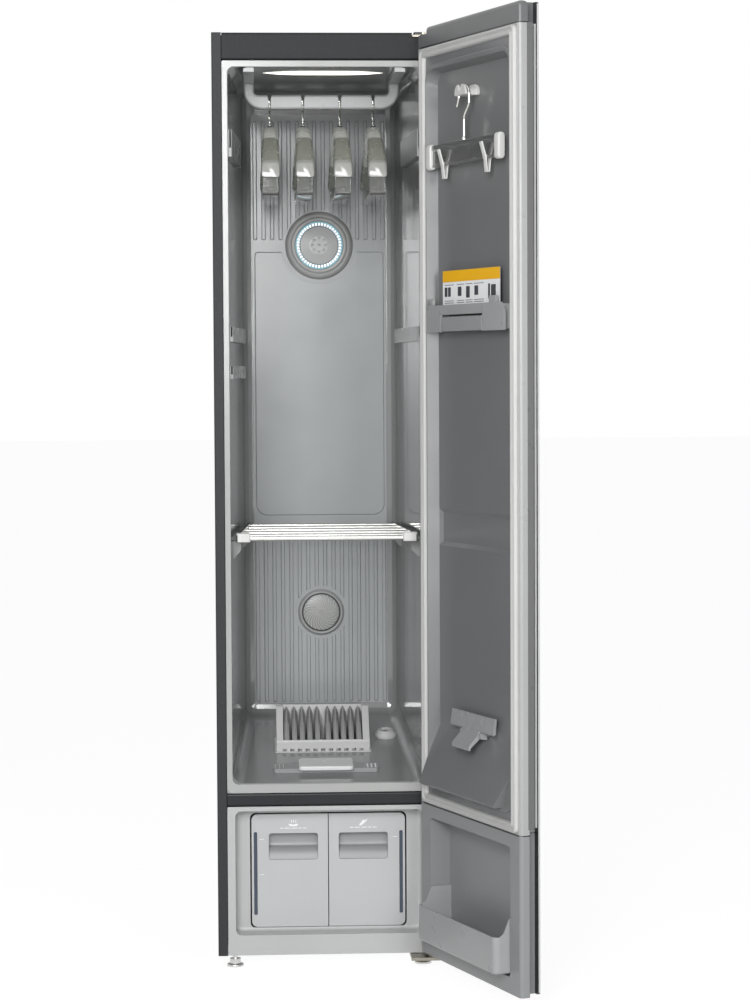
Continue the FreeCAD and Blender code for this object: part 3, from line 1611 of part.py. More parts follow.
# --------------------------------------------------------------------------------------------------
# Tank bay and water tanks
# --------------------------------------------------------------------------------------------------
def tank_bay():
    """The front moulding: the kick, a wide recess, and the sleeve that the tanks slide in."""
    piece = Piece("tank_bay")
    wall = size.bay_wall
    half = BAY_HALF_WIDTH
    floor = FRONT + size.bay_depth
    clear = size.tank_clearance
    sleeve = TANK_HALF_WIDTH + clear
    sleeve_low = TANK_BOTTOM - clear
    sleeve_high = TANK_TOP + clear
    sleeve_end = floor + size.tank_length + size.tank_end_gap
    piece.pad("XZ", FRONT, FRONT + wall, rounded(
        -FACE, size.foot_height + size.seam, FACE, size.divider_bottom, wall))
    piece.pad("XZ", FRONT, floor + wall, rounded(
        -half - wall, BAY_BOTTOM - wall, half + wall, BAY_TOP + wall, size.bay_corner + wall))
    piece.pad("XZ", floor, sleeve_end + wall, rounded(
        -sleeve - wall, sleeve_low - wall, sleeve + wall, sleeve_high + wall, size.tank_corner + wall))
    piece.pocket("XZ", FRONT, floor, rounded(
        -half, BAY_BOTTOM, half, BAY_TOP, size.bay_corner))
    piece.soften("Fillet", size.bay_fillet, at_level("y", floor))
    piece.pocket("XZ", floor, sleeve_end, rounded(
        -sleeve, sleeve_low, sleeve, sleeve_high, size.tank_corner))


def tank_outline(side, inset=0):
    """A tank's front outline: rounded on its outer side, square where the tanks meet."""
    split = side * (size.tank_split / 2 + inset)
    outer = side * (TANK_HALF_WIDTH - inset)
    return corners(
        (split, TANK_BOTTOM + inset),
        (outer, TANK_BOTTOM + inset, size.tank_corner),
        (outer, TANK_TOP - inset, size.tank_corner),
        (split, TANK_TOP - inset))


def tank_front(label, side):
    """The front of a water tank, with a finger grip and a level window."""
    piece = Piece(label)
    front = FRONT + size.bay_depth
    wall = size.grip_wall
    inner = side * size.grip_inner
    outer = side * GRIP_OUTER
    piece.pad("XZ", front, front + size.tank_front, tank_outline(side))
    piece.pad("XZ", front + size.tank_front, front + size.grip_depth + wall, rounded(
        inner - side * wall, GRIP_BOTTOM - wall, outer + side * wall, GRIP_TOP + wall,
        size.grip_corner + wall))
    piece.pocket("XZ", front, front + size.grip_depth, rounded(
        inner, GRIP_BOTTOM, outer, GRIP_TOP, size.grip_corner))
    piece.pocket("XZ", front, front + size.level_depth, rounded(
        side * LEVEL_INNER, LEVEL_BOTTOM, side * LEVEL_OUTER, LEVEL_TOP,
        size.level_depth))


def tank_body(label, side):
    """The closed water container behind the front, notched for the finger grip."""
    piece = Piece(label)
    front = FRONT + size.bay_depth + size.tank_front
    wall = size.grip_wall
    clear = size.liner_fit
    piece.pad("XZ", front, FRONT + size.bay_depth + size.tank_length, tank_outline(side, wall))
    piece.pocket("XZ", front, FRONT + size.bay_depth + size.grip_depth + wall, rounded(
        side * (size.grip_inner - wall - clear), GRIP_BOTTOM - wall - clear,
        side * (GRIP_OUTER + wall + clear), GRIP_TOP + wall + clear,
        size.grip_corner + wall + clear))


# --------------------------------------------------------------------------------------------------
# Machinery behind the tanks
# --------------------------------------------------------------------------------------------------
def compressor():
    """The heat pump's compressor: a domed steel pot on three rubber mounts."""
    piece = Piece("compressor", (size.compressor_across, FRONT + COMPRESSOR_ALONG, PAN_TOP))
    radius = size.compressor_radius
    low = size.compressor_mount
    high = low + size.compressor_height
    piece.turn("XZ", 0, ((0, 0), (0, high)), corners(
        (0, low),
        (radius, low),
        (radius, high, radius / 2),
        (radius / 4, high, radius / 8),
        (radius / 6, high + low, radius / 16),
        (0, high + low)))
    mount = piece.pad("XY", 0, low, circle(radius * 0.7, 0, low * 0.8))
    piece.ring([mount], "Z", 3)


def steam_generator():
    """The steam generator: a boiler box with a pipe up to the steam nozzle."""
    piece = Piece("steam_generator")
    left = size.generator_left
    front = FRONT + GENERATOR_FRONT
    low = size.generator_bottom
    high = low + size.generator_height
    pipe_y = FRONT + STEAM_PIPE_ALONG
    pipe = size.steam_pipe_radius
    piece.pad("XY", PAN_TOP, high, rounded(
        left, front, left + size.generator_width, front + size.generator_depth, size.generator_corner))
    piece.pad("XY", high, NOZZLE_HEIGHT + pipe, circle(size.steam_pipe_across, pipe_y, pipe))
    piece.pad("XZ", LINER_BACK, pipe_y, circle(
        size.steam_pipe_across, NOZZLE_HEIGHT, pipe * 0.8))


def circulation_fan():
    """The fan's motor and scroll housing, and its outlet under the air duct."""
    piece = Piece("circulation_fan")
    x = size.fan_across
    y = FRONT + FAN_ALONG
    low = size.fan_bottom
    high = low + size.fan_height
    duct_front = LINER_BACK + size.duct_gap
    piece.pad("XY", low, high, circle(x, y, size.fan_radius))
    piece.pad("XY", low, high, rectangle(
        x, duct_front, size.duct_left + size.duct_width, duct_front + size.duct_depth))
    piece.pad("XY", high, size.duct_bottom, rectangle(
        size.duct_left, duct_front, size.duct_left + size.duct_width, duct_front + size.duct_depth))
    piece.pocket("XY", high - size.fan_height / 3, high, circle(x, y, size.fan_eye))
    piece.pad("XY", PAN_TOP, low, circle(x, y, size.fan_eye))


def air_duct():
    """The flat duct behind the liner that feeds the air outlet."""
    piece = Piece("air_duct")
    front = LINER_BACK + size.duct_gap
    back = front + size.duct_depth
    wall = size.duct_wall
    left = size.duct_left
    right = left + size.duct_width
    piece.pad("XY", size.duct_bottom, DUCT_TOP, rectangle(left, front, right, back))
    piece.pocket("XY", size.duct_bottom, DUCT_TOP - wall, rectangle(
        left + wall, front + wall, right - wall, back - wall))


# --------------------------------------------------------------------------------------------------
# Hinges
# --------------------------------------------------------------------------------------------------
def hinge_brackets():
    """The lower and upper hinge plates with their pins."""
    piece = Piece("hinge_brackets")
    x = HINGE_X
    y = HINGE_Y
    tip = y - size.hinge_arm_reach
    low = size.foot_height - size.lower_plate_thickness
    corner = size.hinge_plate
    foot_x = FOOT_SPACING_ACROSS / 2
    foot_y = -(FOOT_SPACING_DEEP / 2)
    piece.pad("XY", low, size.foot_height, rounded(
        HINGE_TAIL_LEFT, tip, HALF - size.panel_sheet, FRONT + size.hinge_tail, corner))
    piece.pocket("XY", low, size.foot_height, circle(
        foot_x, foot_y, size.stud_radius + size.stud_clearance))
    collar_top = DOOR_BOTTOM - size.hinge_play
    piece.pad("XY", size.foot_height, collar_top, circle(x, y, size.collar_radius))
    piece.pad("XY", collar_top, DOOR_BOTTOM + size.pin_length, circle(x, y, size.pin_radius))
    plate = UPPER_PLATE
    piece.pad("XY", plate, plate + size.hinge_plate, corners(
        (UPPER_ARM_LEFT, tip, corner),
        (UPPER_ARM_RIGHT, tip, corner),
        (UPPER_ARM_RIGHT, FRONT - size.seam, corner),
        (UPPER_PLATE_RIGHT, FRONT - size.seam),
        (UPPER_PLATE_RIGHT, FRONT + size.hinge_tail, corner),
        (UPPER_PLATE_LEFT, FRONT + size.hinge_tail, corner),
        (UPPER_PLATE_LEFT, FRONT - corner),
        (UPPER_ARM_LEFT, FRONT - corner)))
    piece.pad("XY", CAP_NOTCH_FLOOR - size.pin_length, plate, circle(x, y, size.pin_radius))


def top_hinge_cover():
    """The black cap over the upper hinge plate."""
    piece = Piece("top_hinge_cover")
    low = UPPER_PLATE + size.hinge_plate
    high = low + size.hinge_cover_height
    piece.pad("XY", low, high, rounded(
        HINGE_COVER_LEFT, FRONT - size.hinge_plate, HINGE_COVER_RIGHT,
        FRONT + size.hinge_tail, size.hinge_plate))
    piece.soften("Fillet", size.hinge_cover_height / 3, at_level("z", high))


# --------------------------------------------------------------------------------------------------
# Door shell
# --------------------------------------------------------------------------------------------------
def door_slab(piece, low, high):
    """The door's section: a rounded inner free edge, and a grip channel behind the glass."""
    channel = DOOR_FREE + size.grip_channel
    lip = DOOR_INNER - size.grip_lip
    piece.pad("XY", low, high, corners(
        (size.hinge_inset, DOOR_CORE),
        (size.hinge_inset, DOOR_INNER, size.glass_corner),
        (DOOR_FREE, DOOR_INNER, size.door_corner),
        (DOOR_FREE, lip, size.glass_corner),
        (channel, lip),
        (channel, DOOR_CORE)))


def pin_bore():
    """The bore that a hinge pin turns in."""
    return circle(0, 0, size.pin_radius + size.pin_clearance)


def door_glass():
    """The dark glass over the whole front of the door."""
    piece = on_door("door_glass")
    piece.pad("XZ", DOOR_OUTER, DOOR_CORE, rounded(
        DOOR_FREE + size.glass_setback, DOOR_BOTTOM, size.hinge_inset, DOOR_TOP,
        size.glass_corner))


def door_frame():
    """The door's insulated core, stepped to take the inner liner."""
    piece = on_door("door_frame")
    door_slab(piece, LOWER_PANEL_TOP + size.seam, CAP_BOTTOM - size.seam)
    fit = size.liner_fit
    wall = size.door_liner_wall
    near = size.hinge_inset - size.liner_margin
    far = DOOR_FREE + size.liner_far_margin
    piece.pocket("XZ", DOOR_INNER - wall, DOOR_INNER, rounded(
        far - fit, DOOR_LINER_BOTTOM - fit, near + fit, DOOR_LINER_TOP + fit,
        size.gasket_radius))
    floor = DOOR_INNER - size.recess_depth
    piece.pocket("XZ", floor - wall, DOOR_INNER - wall, rounded(
        -RECESS_FAR - wall - fit, RECESS_BOTTOM - wall - fit,
        -RECESS_NEAR + wall + fit, RECESS_TOP + wall + fit, size.recess_radius + wall))
    piece.pocket("XZ", floor - wall, DOOR_INNER - wall, rectangle(
        -RECESS_FAR - fit, RECESS_BOTTOM - fit,
        -RECESS_NEAR + fit, RECESS_BOTTOM + size.recess_radius))
    piece.pocket("XZ", floor - wall - size.band_depth, floor - wall, rectangle(
        -RECESS_FAR - wall - fit, size.band_bottom - wall - fit,
        -RECESS_NEAR + wall + fit, size.band_top + wall + fit))


def door_liner():
    """The grey inner liner: a flange, a raised bead, and a shallow recess with a deeper band.

    The recess's floor ramps out at its foot, over the sill of the cavity.
    """
    piece = on_door("door_liner")
    wall = size.door_liner_wall
    near = size.hinge_inset - size.liner_margin
    far = DOOR_FREE + size.liner_far_margin
    floor = DOOR_INNER - size.recess_depth
    bead = size.bead_width
    piece.pad("XZ", DOOR_INNER - wall, DOOR_INNER, rounded(
        far, DOOR_LINER_BOTTOM, near, DOOR_LINER_TOP, size.gasket_radius))
    piece.pad("XZ", DOOR_INNER, DOOR_INNER + size.bead_height, rounded(
        -RECESS_FAR - bead, RECESS_BOTTOM - bead * 6,
        -RECESS_NEAR + bead, RECESS_TOP + bead * 3, size.recess_radius + bead))
    piece.soften("Fillet", bead / 2, at_level("y", DOOR_INNER + size.bead_height))
    piece.pad("XZ", floor - wall, DOOR_INNER - wall, rounded(
        -RECESS_FAR - wall, RECESS_BOTTOM - wall,
        -RECESS_NEAR + wall, RECESS_TOP + wall, size.recess_radius + wall))
    piece.pad("XZ", floor - wall - size.band_depth, floor - wall, rectangle(
        -RECESS_FAR - wall, size.band_bottom - wall, -RECESS_NEAR + wall,
        size.band_top + wall))
    lean = size.recess_slope
    rim = DOOR_INNER + size.bead_height
    piece.loft("XZ", (rim, rounded(
        -RECESS_FAR, RECESS_BOTTOM, -RECESS_NEAR, RECESS_TOP, size.recess_radius)),
        (floor, rounded(
            lean - RECESS_FAR, RECESS_BOTTOM + lean, -RECESS_NEAR - lean,
            RECESS_TOP - lean, size.recess_radius - lean)), kind="SubtractiveLoft", ruled=True)
    piece.loft("XZ", (floor, rectangle(
        lean - RECESS_FAR, size.band_bottom, -RECESS_NEAR - lean, size.band_top)),
        (floor - size.band_depth, rectangle(
            lean * 2 - RECESS_FAR, size.band_bottom + size.band_slope,
            -RECESS_NEAR - lean * 2, size.band_top - size.band_slope)), kind="SubtractiveLoft",
        ruled=True)
    piece.pad("YZ", -RECESS_FAR, -RECESS_NEAR, corners(
        (DOOR_INNER - wall / 2, RAMP_BOTTOM),
        (size.ramp_reach, RAMP_BOTTOM, size.ramp_rounding),
        (floor, RAMP_TOP),
        (floor - wall / 2, RAMP_TOP),
        (floor - wall / 2, RECESS_BOTTOM),
        (DOOR_INNER - wall / 2, RECESS_BOTTOM)))
    piece.pocket("XZ", rim, size.ramp_reach + size.seam, corners(
        (-RECESS_FAR + size.ramp_corner_cut, RAMP_BOTTOM - size.seam),
        (-RECESS_FAR + size.ramp_corner_cut, RAMP_BOTTOM),
        (-RECESS_FAR, RAMP_BOTTOM + size.ramp_corner_height),
        (-RECESS_FAR - bead, RAMP_BOTTOM + size.ramp_corner_height),
        (-RECESS_FAR - bead, RAMP_BOTTOM - size.seam)))


def door_gasket():
    """The soft magnetic seal all round the door's inside."""
    piece = on_door("door_gasket")
    outer_near = size.hinge_inset - size.gasket_margin
    outer_far = DOOR_FREE + size.gasket_far_margin
    width = size.gasket_width
    face = DOOR_INNER + size.gasket_height
    piece.pad("XZ", DOOR_INNER, face,
              rounded(outer_far, GASKET_BOTTOM, outer_near, GASKET_TOP, size.gasket_radius),
              rounded(outer_far + width, GASKET_BOTTOM + width, outer_near - width,
                      GASKET_TOP - width, size.gasket_radius / 2))
    piece.soften("Fillet", size.gasket_rounding, at_level("y", face))


def door_lower_panel():
    """The light-grey lower moulding with a deep pocket."""
    piece = on_door("door_lower_panel")
    door_slab(piece, DOOR_BOTTOM, LOWER_PANEL_TOP)
    floor = DOOR_INNER - size.pocket_depth
    piece.pocket("XZ", floor, DOOR_INNER, rounded(
        -POCKET_FAR, POCKET_BOTTOM, -POCKET_NEAR, POCKET_TOP, size.pocket_radius))
    piece.pocket("XY", DOOR_BOTTOM, DOOR_BOTTOM + size.pin_length + size.seam, pin_bore())


def door_top_cap():
    """The moulded top of the door, cut down at the hinge for the upper plate."""
    piece = on_door("door_top_cap")
    door_slab(piece, CAP_BOTTOM, DOOR_TOP)
    piece.pocket("XZ", DOOR_CORE, DOOR_INNER, rectangle(
        -size.cap_notch, CAP_NOTCH_FLOOR, size.hinge_inset, DOOR_TOP))
    top = DOOR_TOP.number
    free = DOOR_FREE.number
    piece.soften("Fillet", size.cap_corner, lambda edge: all(
        abs(vertex.X - free) < 0.01 and abs(vertex.Z - top) < 0.01 for vertex in edge.Vertexes))
    piece.pocket("XY", CAP_NOTCH_FLOOR - size.pin_length - size.seam, CAP_NOTCH_FLOOR,
                 pin_bore())


def door_basket():
    """The open basket in the door's pocket, with a low front and sloping ends."""
    piece = on_door("door_basket")
    wall = size.basket_wall
    back = DOOR_INNER - size.pocket_depth
    front = size.basket_reach
    low = BASKET_BOTTOM
    far = -BASKET_FAR
    near = -BASKET_NEAR
    bend = size.basket_corner
    piece.pad("XY", low, BASKET_END_TOP, corners(
        (far, back), (far, front, bend), (near, front, bend), (near, back)))
    piece.pocket("XY", low + wall, BASKET_END_TOP, corners(
        (far + wall, back), (far + wall, front - wall, bend - wall),
        (near - wall, front - wall, bend - wall), (near - wall, back)))
    drop = BASKET_END_TOP - BASKET_FRONT_TOP
    piece.pocket("YZ", far, near, corners(
        (DOOR_INNER, BASKET_END_TOP),
        (DOOR_INNER + bend, BASKET_FRONT_TOP + drop / 6, bend),
        (front - bend, BASKET_FRONT_TOP),
        (front + wall, BASKET_FRONT_TOP),
        (front + wall, BASKET_END_TOP)))
    piece.soften("Fillet", wall * 1.5, lambda edge: at_level("z", low)(edge)
                 and edge.BoundBox.YMax > front.number - bend.number - 0.01)


# --------------------------------------------------------------------------------------------------
# Accessory hook and trouser hanger on the door
# --------------------------------------------------------------------------------------------------
def door_hook():
    """A round-topped saddle with a split front lip, on the liner's floor."""
    piece = on_door("door_hook")
    centre = -SADDLE_PLACE
    radius = size.saddle_radius
    lip = size.saddle_lip_radius
    face = LINER_FLOOR + size.saddle_reach
    piece.pad("XZ", LINER_FLOOR, face, corners(
        (centre - radius, SADDLE_LOW),
        (centre - radius, SADDLE_CENTRE + radius, radius - size.saddle_lip),
        (centre + radius, SADDLE_CENTRE + radius, radius - size.saddle_lip),
        (centre + radius, SADDLE_LOW)))
    for low, high in ((LINER_FLOOR, LINER_FLOOR + size.saddle_lip), (face, face + size.saddle_lip)):
        piece.pad("XZ", low, high, corners(
            (centre - lip, SADDLE_LOW, size.saddle_lip),
            (centre - lip + size.saddle_lip, SADDLE_CENTRE + lip, radius * 0.8),
            (centre + lip - size.saddle_lip, SADDLE_CENTRE + lip, radius * 0.8),
            (centre + lip, SADDLE_LOW, size.saddle_lip)))
    notch = radius / 4
    piece.pocket("XZ", face, face + size.saddle_lip, corners(
        (centre - notch, SADDLE_CENTRE + lip),
        (centre - notch / 2, SADDLE_LOW + lip / 3, notch / 4),
        (centre + notch, SADDLE_LOW + lip / 3, notch / 4),
        (centre + notch * 2, SADDLE_CENTRE + lip)))


def trouser_hanger_hook():
    """The bent wire that hangs on the saddle, with a ball where it meets the bar."""
    plane = LINER_FLOOR + size.trouser_hook_plane
    stem = -SADDLE_PLACE
    centre = -SADDLE_PLACE
    wire = size.trouser_hook_wire
    radius = size.saddle_radius + size.trouser_hook_clearance + wire
    crown = radius - size.saddle_lip
    start = TROUSER_BAR_TOP
    middle = SADDLE_CENTRE
    piece = on_door("trouser_hanger_hook")
    piece.rod("XZ", plane, path(
        (stem, start),
        (stem, middle - radius * 1.6, radius),
        (centre - radius, middle - radius * 0.7, radius / 2),
        (centre - radius, middle + radius, crown),
        (centre + radius, middle + radius, crown),
        (centre + radius, middle, radius / 2),
        (centre + radius * 1.35, middle - radius * 0.7)),
        start, circle(stem, plane, wire))
    piece.turn("XZ", plane, ((stem, start), (stem, start + wire)), corners(
        (stem, start),
        (stem + wire * 2, start),
        (stem + wire * 2, start + wire * 2, wire),
        (stem, start + wire * 3)))


def trouser_hanger_bar():
    """The smoked bar of the trouser hanger."""
    piece = on_door("trouser_hanger_bar")
    plane = LINER_FLOOR + size.trouser_hook_plane
    half = size.trouser_bar_thickness / 2
    piece.pad("XZ", plane - half, plane + half, rectangle(
        size.trouser_cap_length / 2 - TROUSER_BAR_FAR, TROUSER_BAR_BOTTOM,
        -TROUSER_BAR_NEAR - size.trouser_cap_length / 2, TROUSER_BAR_TOP))


def trouser_hanger_clips():
    """The bar's two end caps and the two sprung clips that ride on it."""
    piece = on_door("trouser_hanger_clips")
    plane = LINER_FLOOR + size.trouser_hook_plane
    bar = size.trouser_bar_thickness / 2
    cap = size.trouser_cap_thickness / 2
    ends = ((-TROUSER_BAR_FAR, size.trouser_cap_length - TROUSER_BAR_FAR),
            (-TROUSER_BAR_NEAR - size.trouser_cap_length, -TROUSER_BAR_NEAR))
    for far, near in ends:
        piece.pad("YZ", far, near, rounded(
            plane - cap, TROUSER_CAP_BOTTOM, plane + cap, TROUSER_CAP_TOP, cap * 0.9))
    hole = size.trouser_cap_length / 2
    for far, near in ((hole - TROUSER_BAR_FAR, size.trouser_cap_length - TROUSER_BAR_FAR),
                      (-TROUSER_BAR_NEAR - size.trouser_cap_length,
                       -TROUSER_BAR_NEAR - hole)):
        piece.pocket("YZ", far, near, rectangle(
            plane - bar, TROUSER_BAR_BOTTOM, plane + bar, TROUSER_BAR_TOP))
    blade = size.peg_blade
    low = PEG_BOTTOM
    high = PEG_TOP
    bite = TROUSER_BAR_BOTTOM
    spread = size.peg_spread
    half = size.peg_width / 2
    for place in (-CLIP_NEAR_PLACE, -CLIP_FAR_PLACE):
        for side in (-1, 1):
            piece.pad("YZ", place - half, place + half, corners(
                (plane + side * blade / 4, low),
                (plane + side * (bar + blade / 4), bite - blade),
                (plane + side * bar, bite),
                (plane + side * bar, bite + blade),
                (plane + side * (bar + spread), high),
                (plane + side * (bar + spread + blade), high - blade / 2),
                (plane + side * (bar + blade), bite - blade),
                (plane + side * blade * 1.25, low)))


# --------------------------------------------------------------------------------------------------
# Holder bar, guide card and hem clip on the door
# --------------------------------------------------------------------------------------------------
def holder_bar():
    """The bar across the liner: a front plate with two ears, on two legs, notched for its lever.

    A stiff guide card stands in a slit behind the plate.
    """
    piece = on_door("holder_bar")
    face = LINER_FLOOR + size.holder_face
    back = face - size.holder_plate
    near = -HOLDER_NEAR
    far = -HOLDER_FAR
    high = HOLDER_HIGH
    ear = HOLDER_EAR_TOP
    small = size.card_corner
    piece.pad("XZ", back, face, corners(
        (near, size.holder_low, small),
        (near, high, small),
        (-EAR_NEAR_START, high),
        (-EAR_NEAR_START, ear, small),
        (-EAR_NEAR_END, ear, small),
        (-EAR_NEAR_END, high),
        (-EAR_FAR_START, high),
        (-EAR_FAR_START, ear, small),
        (-EAR_FAR_END, ear, small),
        (-EAR_FAR_END, high),
        (far + size.holder_bevel, high),
        (far, high - size.holder_bevel),
        (far, size.holder_low, small)))
    piece.pocket("XZ", back, face, rectangle(
        -NOTCH_FAR, size.holder_low, -NOTCH_NEAR, NOTCH_TOP))
    legs = ((-CARD_FAR - size.seam * 2, -CARD_FAR - size.seam * 2 - size.holder_leg),
            (-CARD_NEAR + size.seam * 2, -CARD_NEAR + size.seam * 2 + size.holder_leg))
    for start, end in legs:
        piece.pad("XZ", LINER_FLOOR, back, rectangle(start, size.holder_low + small, end, high - small))
    piece.pad("XZ", LINER_FLOOR, back, rectangle(
        legs[0][0], NOTCH_TOP + small, legs[1][0], high - small * 2))
    slit = LINER_FLOOR + size.card_offset
    piece.pocket("XY", NOTCH_TOP, ear, rectangle(
        -CARD_FAR - size.seam, slit, -CARD_NEAR + size.seam,
        slit + size.card_thickness + size.liner_fit))
    piece.pad("XZ", slit, slit + size.card_thickness, rounded(
        -CARD_FAR, NOTCH_TOP, -CARD_NEAR, CARD_TOP, small))


def holder_lever():
    """The lever in the holder bar's notch, hinged along its lower edge."""
    piece = on_door("holder_lever")
    face = LINER_FLOOR + size.holder_face
    back = LINER_FLOOR + size.lever_back
    wall = size.lever_wall
    piece.pad("YZ", -LEVER_FAR, -LEVER_NEAR, corners(
        (back, LEVER_BOTTOM),
        (face, LEVER_BOTTOM, wall / 2),
        (face, LEVER_TOP, wall / 2),
        (face - wall, LEVER_TOP),
        (face - wall, LEVER_BOTTOM + wall),
        (back, LEVER_BOTTOM + wall)))


def hem_clip_base():
    """The plate of the hem clip, with two lugs and the pin between them."""
    piece = on_door("hem_clip_base")
    margin = size.hem_base_margin
    near = -HEM_STEM_NEAR + margin
    far = -HEM_STEM_FAR - margin
    plate = LINER_FLOOR + size.hem_base_thickness
    pivot_y = LINER_FLOOR + size.hem_pivot_offset
    pivot_z = HEM_PIVOT_HEIGHT
    boss = size.hem_boss_radius
    piece.pad("XZ", LINER_FLOOR, plate, rounded(
        far, HEM_BASE_BOTTOM, near, HEM_BASE_TOP, size.hem_boss_radius))
    for start, end in ((far, far + size.hem_lug), (near - size.hem_lug, near)):
        piece.pad("YZ", start, end, corners(
            (plate, pivot_z - boss * 1.5),
            (pivot_y + boss, pivot_z - boss, boss / 2),
            (pivot_y + boss, pivot_z + boss, boss / 2),
            (plate, pivot_z + boss * 2)))
    piece.pad("YZ", far + size.hem_lug, near - size.hem_lug, circle(
        pivot_y, pivot_z, size.hem_pivot_radius))


def hem_clip_flap():
    """The sprung flap: a long bar that grips a hem, and a stem that leans out to be pressed."""
    piece = on_door("hem_clip_flap")
    thick = size.hem_thickness
    start = LINER_FLOOR + size.hem_bar_offset
    pivot_y = LINER_FLOOR + size.hem_pivot_offset
    pivot_z = HEM_PIVOT_HEIGHT
    boss = size.hem_boss_radius
    bar_low = HEM_TOP - size.hem_bar_height
    piece.pad("YZ", -HEM_FAR, -HEM_NEAR, corners(
        (start, HEM_TOP, thick / 4),
        (start + thick, HEM_TOP, thick / 4),
        (start + thick * 2, bar_low + thick),
        (start + thick * 1.5, bar_low),
        (start + thick / 2, bar_low + thick)))
    reach = LINER_FLOOR + size.hem_lip_reach
    low = HEM_LIP_BOTTOM
    piece.pad("YZ", -HEM_STEM_FAR, -HEM_STEM_NEAR, corners(
        (start + thick / 2, bar_low + thick * 2),
        (start + thick, bar_low + thick * 3),
        (pivot_y + boss * 1.6, pivot_z, boss),
        (reach, low + thick * 2, thick),
        (reach, low, thick / 4),
        (reach - thick, low, thick / 4),
        (reach - thick, low + thick, thick / 2),
        (pivot_y, pivot_z - boss * 0.8, thick / 4)))
    piece.pad("YZ", -HEM_STEM_FAR, -HEM_STEM_NEAR, circle(pivot_y, pivot_z, boss))
    piece.pocket("YZ", -HEM_STEM_FAR, -HEM_STEM_NEAR, circle(
        pivot_y, pivot_z, size.hem_pivot_radius + size.pin_clearance))


# --------------------------------------------------------------------------------------------------
# The whole cabinet
# --------------------------------------------------------------------------------------------------
def build():
    side_panel("left_side_panel", -1)
    side_panel("right_side_panel", 1)
    top_panel()
    header_rail()
    divider_band()
    back_cover()
    cord_gland()
    base_pan()
    levelling_feet()
    inner_liner()
    rear_duct_cover()
    air_outlet_bezel()
    air_outlet_light_ring()
    air_outlet_disc()
    steam_nozzle()
    ceiling_light_lens()
    ceiling_rails()
    wall_brackets()
    hanger_bar()
    for number, place in enumerate(hanger_places(), start=1):
        hanger_hook("hanger_%d_hook" % number, place)
        hanger_shoulder("hanger_%d_shoulder" % number, place)
    shelf_frame()
    shelf_rods()
    lint_filter_frame()
    lint_filter_pleats()
    drain_port_cap()
    aroma_tray()
    aroma_handle()
    tank_bay()
    for name, side in (("supply_tank", -1), ("drain_tank", 1)):
        tank_front(name + "_front", side)
        tank_body(name, side)
    compressor()
    steam_generator()
    circulation_fan()
    air_duct()
    hinge_brackets()
    top_hinge_cover()
    door_glass()
    door_frame()
    door_liner()
    door_gasket()
    door_lower_panel()
    door_top_cap()
    door_basket()
    door_hook()
    trouser_hanger_hook()
    trouser_hanger_bar()
    trouser_hanger_clips()
    holder_bar()
    holder_lever()
    hem_clip_base()
    hem_clip_flap()


def check():
    """Stops if an object failed, a cut took nothing away, or a shape isn't a valid solid."""
    for item in DOCUMENT.Objects:
        if "Invalid" in item.State or "Error" in item.State:
            raise RuntimeError("%s of %s failed" % (item.Name, item.getParentGeoFeatureGroup().Label))
    for cut in CUTS:
        if cut.Shape.Volume > cut.BaseFeature.Shape.Volume - 0.01:
            raise RuntimeError("%s of %s cuts nothing" % (cut.Name, cut.getParentGeoFeatureGroup().Label))
    for body in PIECES:
        if body.Shape.isNull() or not body.Shape.isValid() or not body.Shape.Solids:
            raise RuntimeError("%s isn't a valid solid" % body.Label)


def export():
    """Writes each piece to a file of its own."""
    os.makedirs("parts", exist_ok=True)
    for body in PIECES:
        body.Shape.exportStep("parts/%s.step" % body.Label)


build()
DOCUMENT.recompute()
check()
export()
print(len(PIECES), "pieces written")
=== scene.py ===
"""Looks of the clothes care steam cabinet: finishes, fine shapes, camera, floor and light.

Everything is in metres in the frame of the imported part: the floor at z = 0, the cabinet's front
towards -Y, and the door hinged on the +X side. The fine shapes are drawn in millimetres.
"""
import json
import math

import bmesh
import bpy
from mathutils import Matrix, Quaternion, Vector


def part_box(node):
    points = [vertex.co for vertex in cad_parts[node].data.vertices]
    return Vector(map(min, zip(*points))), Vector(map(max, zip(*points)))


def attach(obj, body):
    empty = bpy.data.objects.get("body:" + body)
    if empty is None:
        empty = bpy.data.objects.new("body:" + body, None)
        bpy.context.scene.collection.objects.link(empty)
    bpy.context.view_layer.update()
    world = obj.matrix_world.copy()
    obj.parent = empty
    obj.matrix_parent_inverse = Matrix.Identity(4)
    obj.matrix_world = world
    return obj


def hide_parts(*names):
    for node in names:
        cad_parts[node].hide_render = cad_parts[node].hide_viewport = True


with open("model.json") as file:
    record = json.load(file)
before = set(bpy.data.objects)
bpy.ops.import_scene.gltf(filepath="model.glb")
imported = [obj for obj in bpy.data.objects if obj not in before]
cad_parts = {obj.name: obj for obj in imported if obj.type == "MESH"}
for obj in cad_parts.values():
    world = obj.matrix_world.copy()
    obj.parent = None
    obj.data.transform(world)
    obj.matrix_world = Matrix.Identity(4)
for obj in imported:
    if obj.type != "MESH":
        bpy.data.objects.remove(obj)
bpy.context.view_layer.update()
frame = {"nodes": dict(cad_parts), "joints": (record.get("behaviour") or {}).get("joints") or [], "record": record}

MM = 0.001
X, Y, Z = range(3)


# ---- Places of the part, in millimetres ------------------------------
def lowest(node, axis):
    """Where a node of the part begins along an axis, to a thousandth."""
    return round(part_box(node)[0][axis] / MM, 3)


def highest(node, axis):
    """Where a node of the part ends along an axis, to a thousandth."""
    return round(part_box(node)[1][axis] / MM, 3)


def middle_of(node, axis):
    return (lowest(node, axis) + highest(node, axis)) / 2


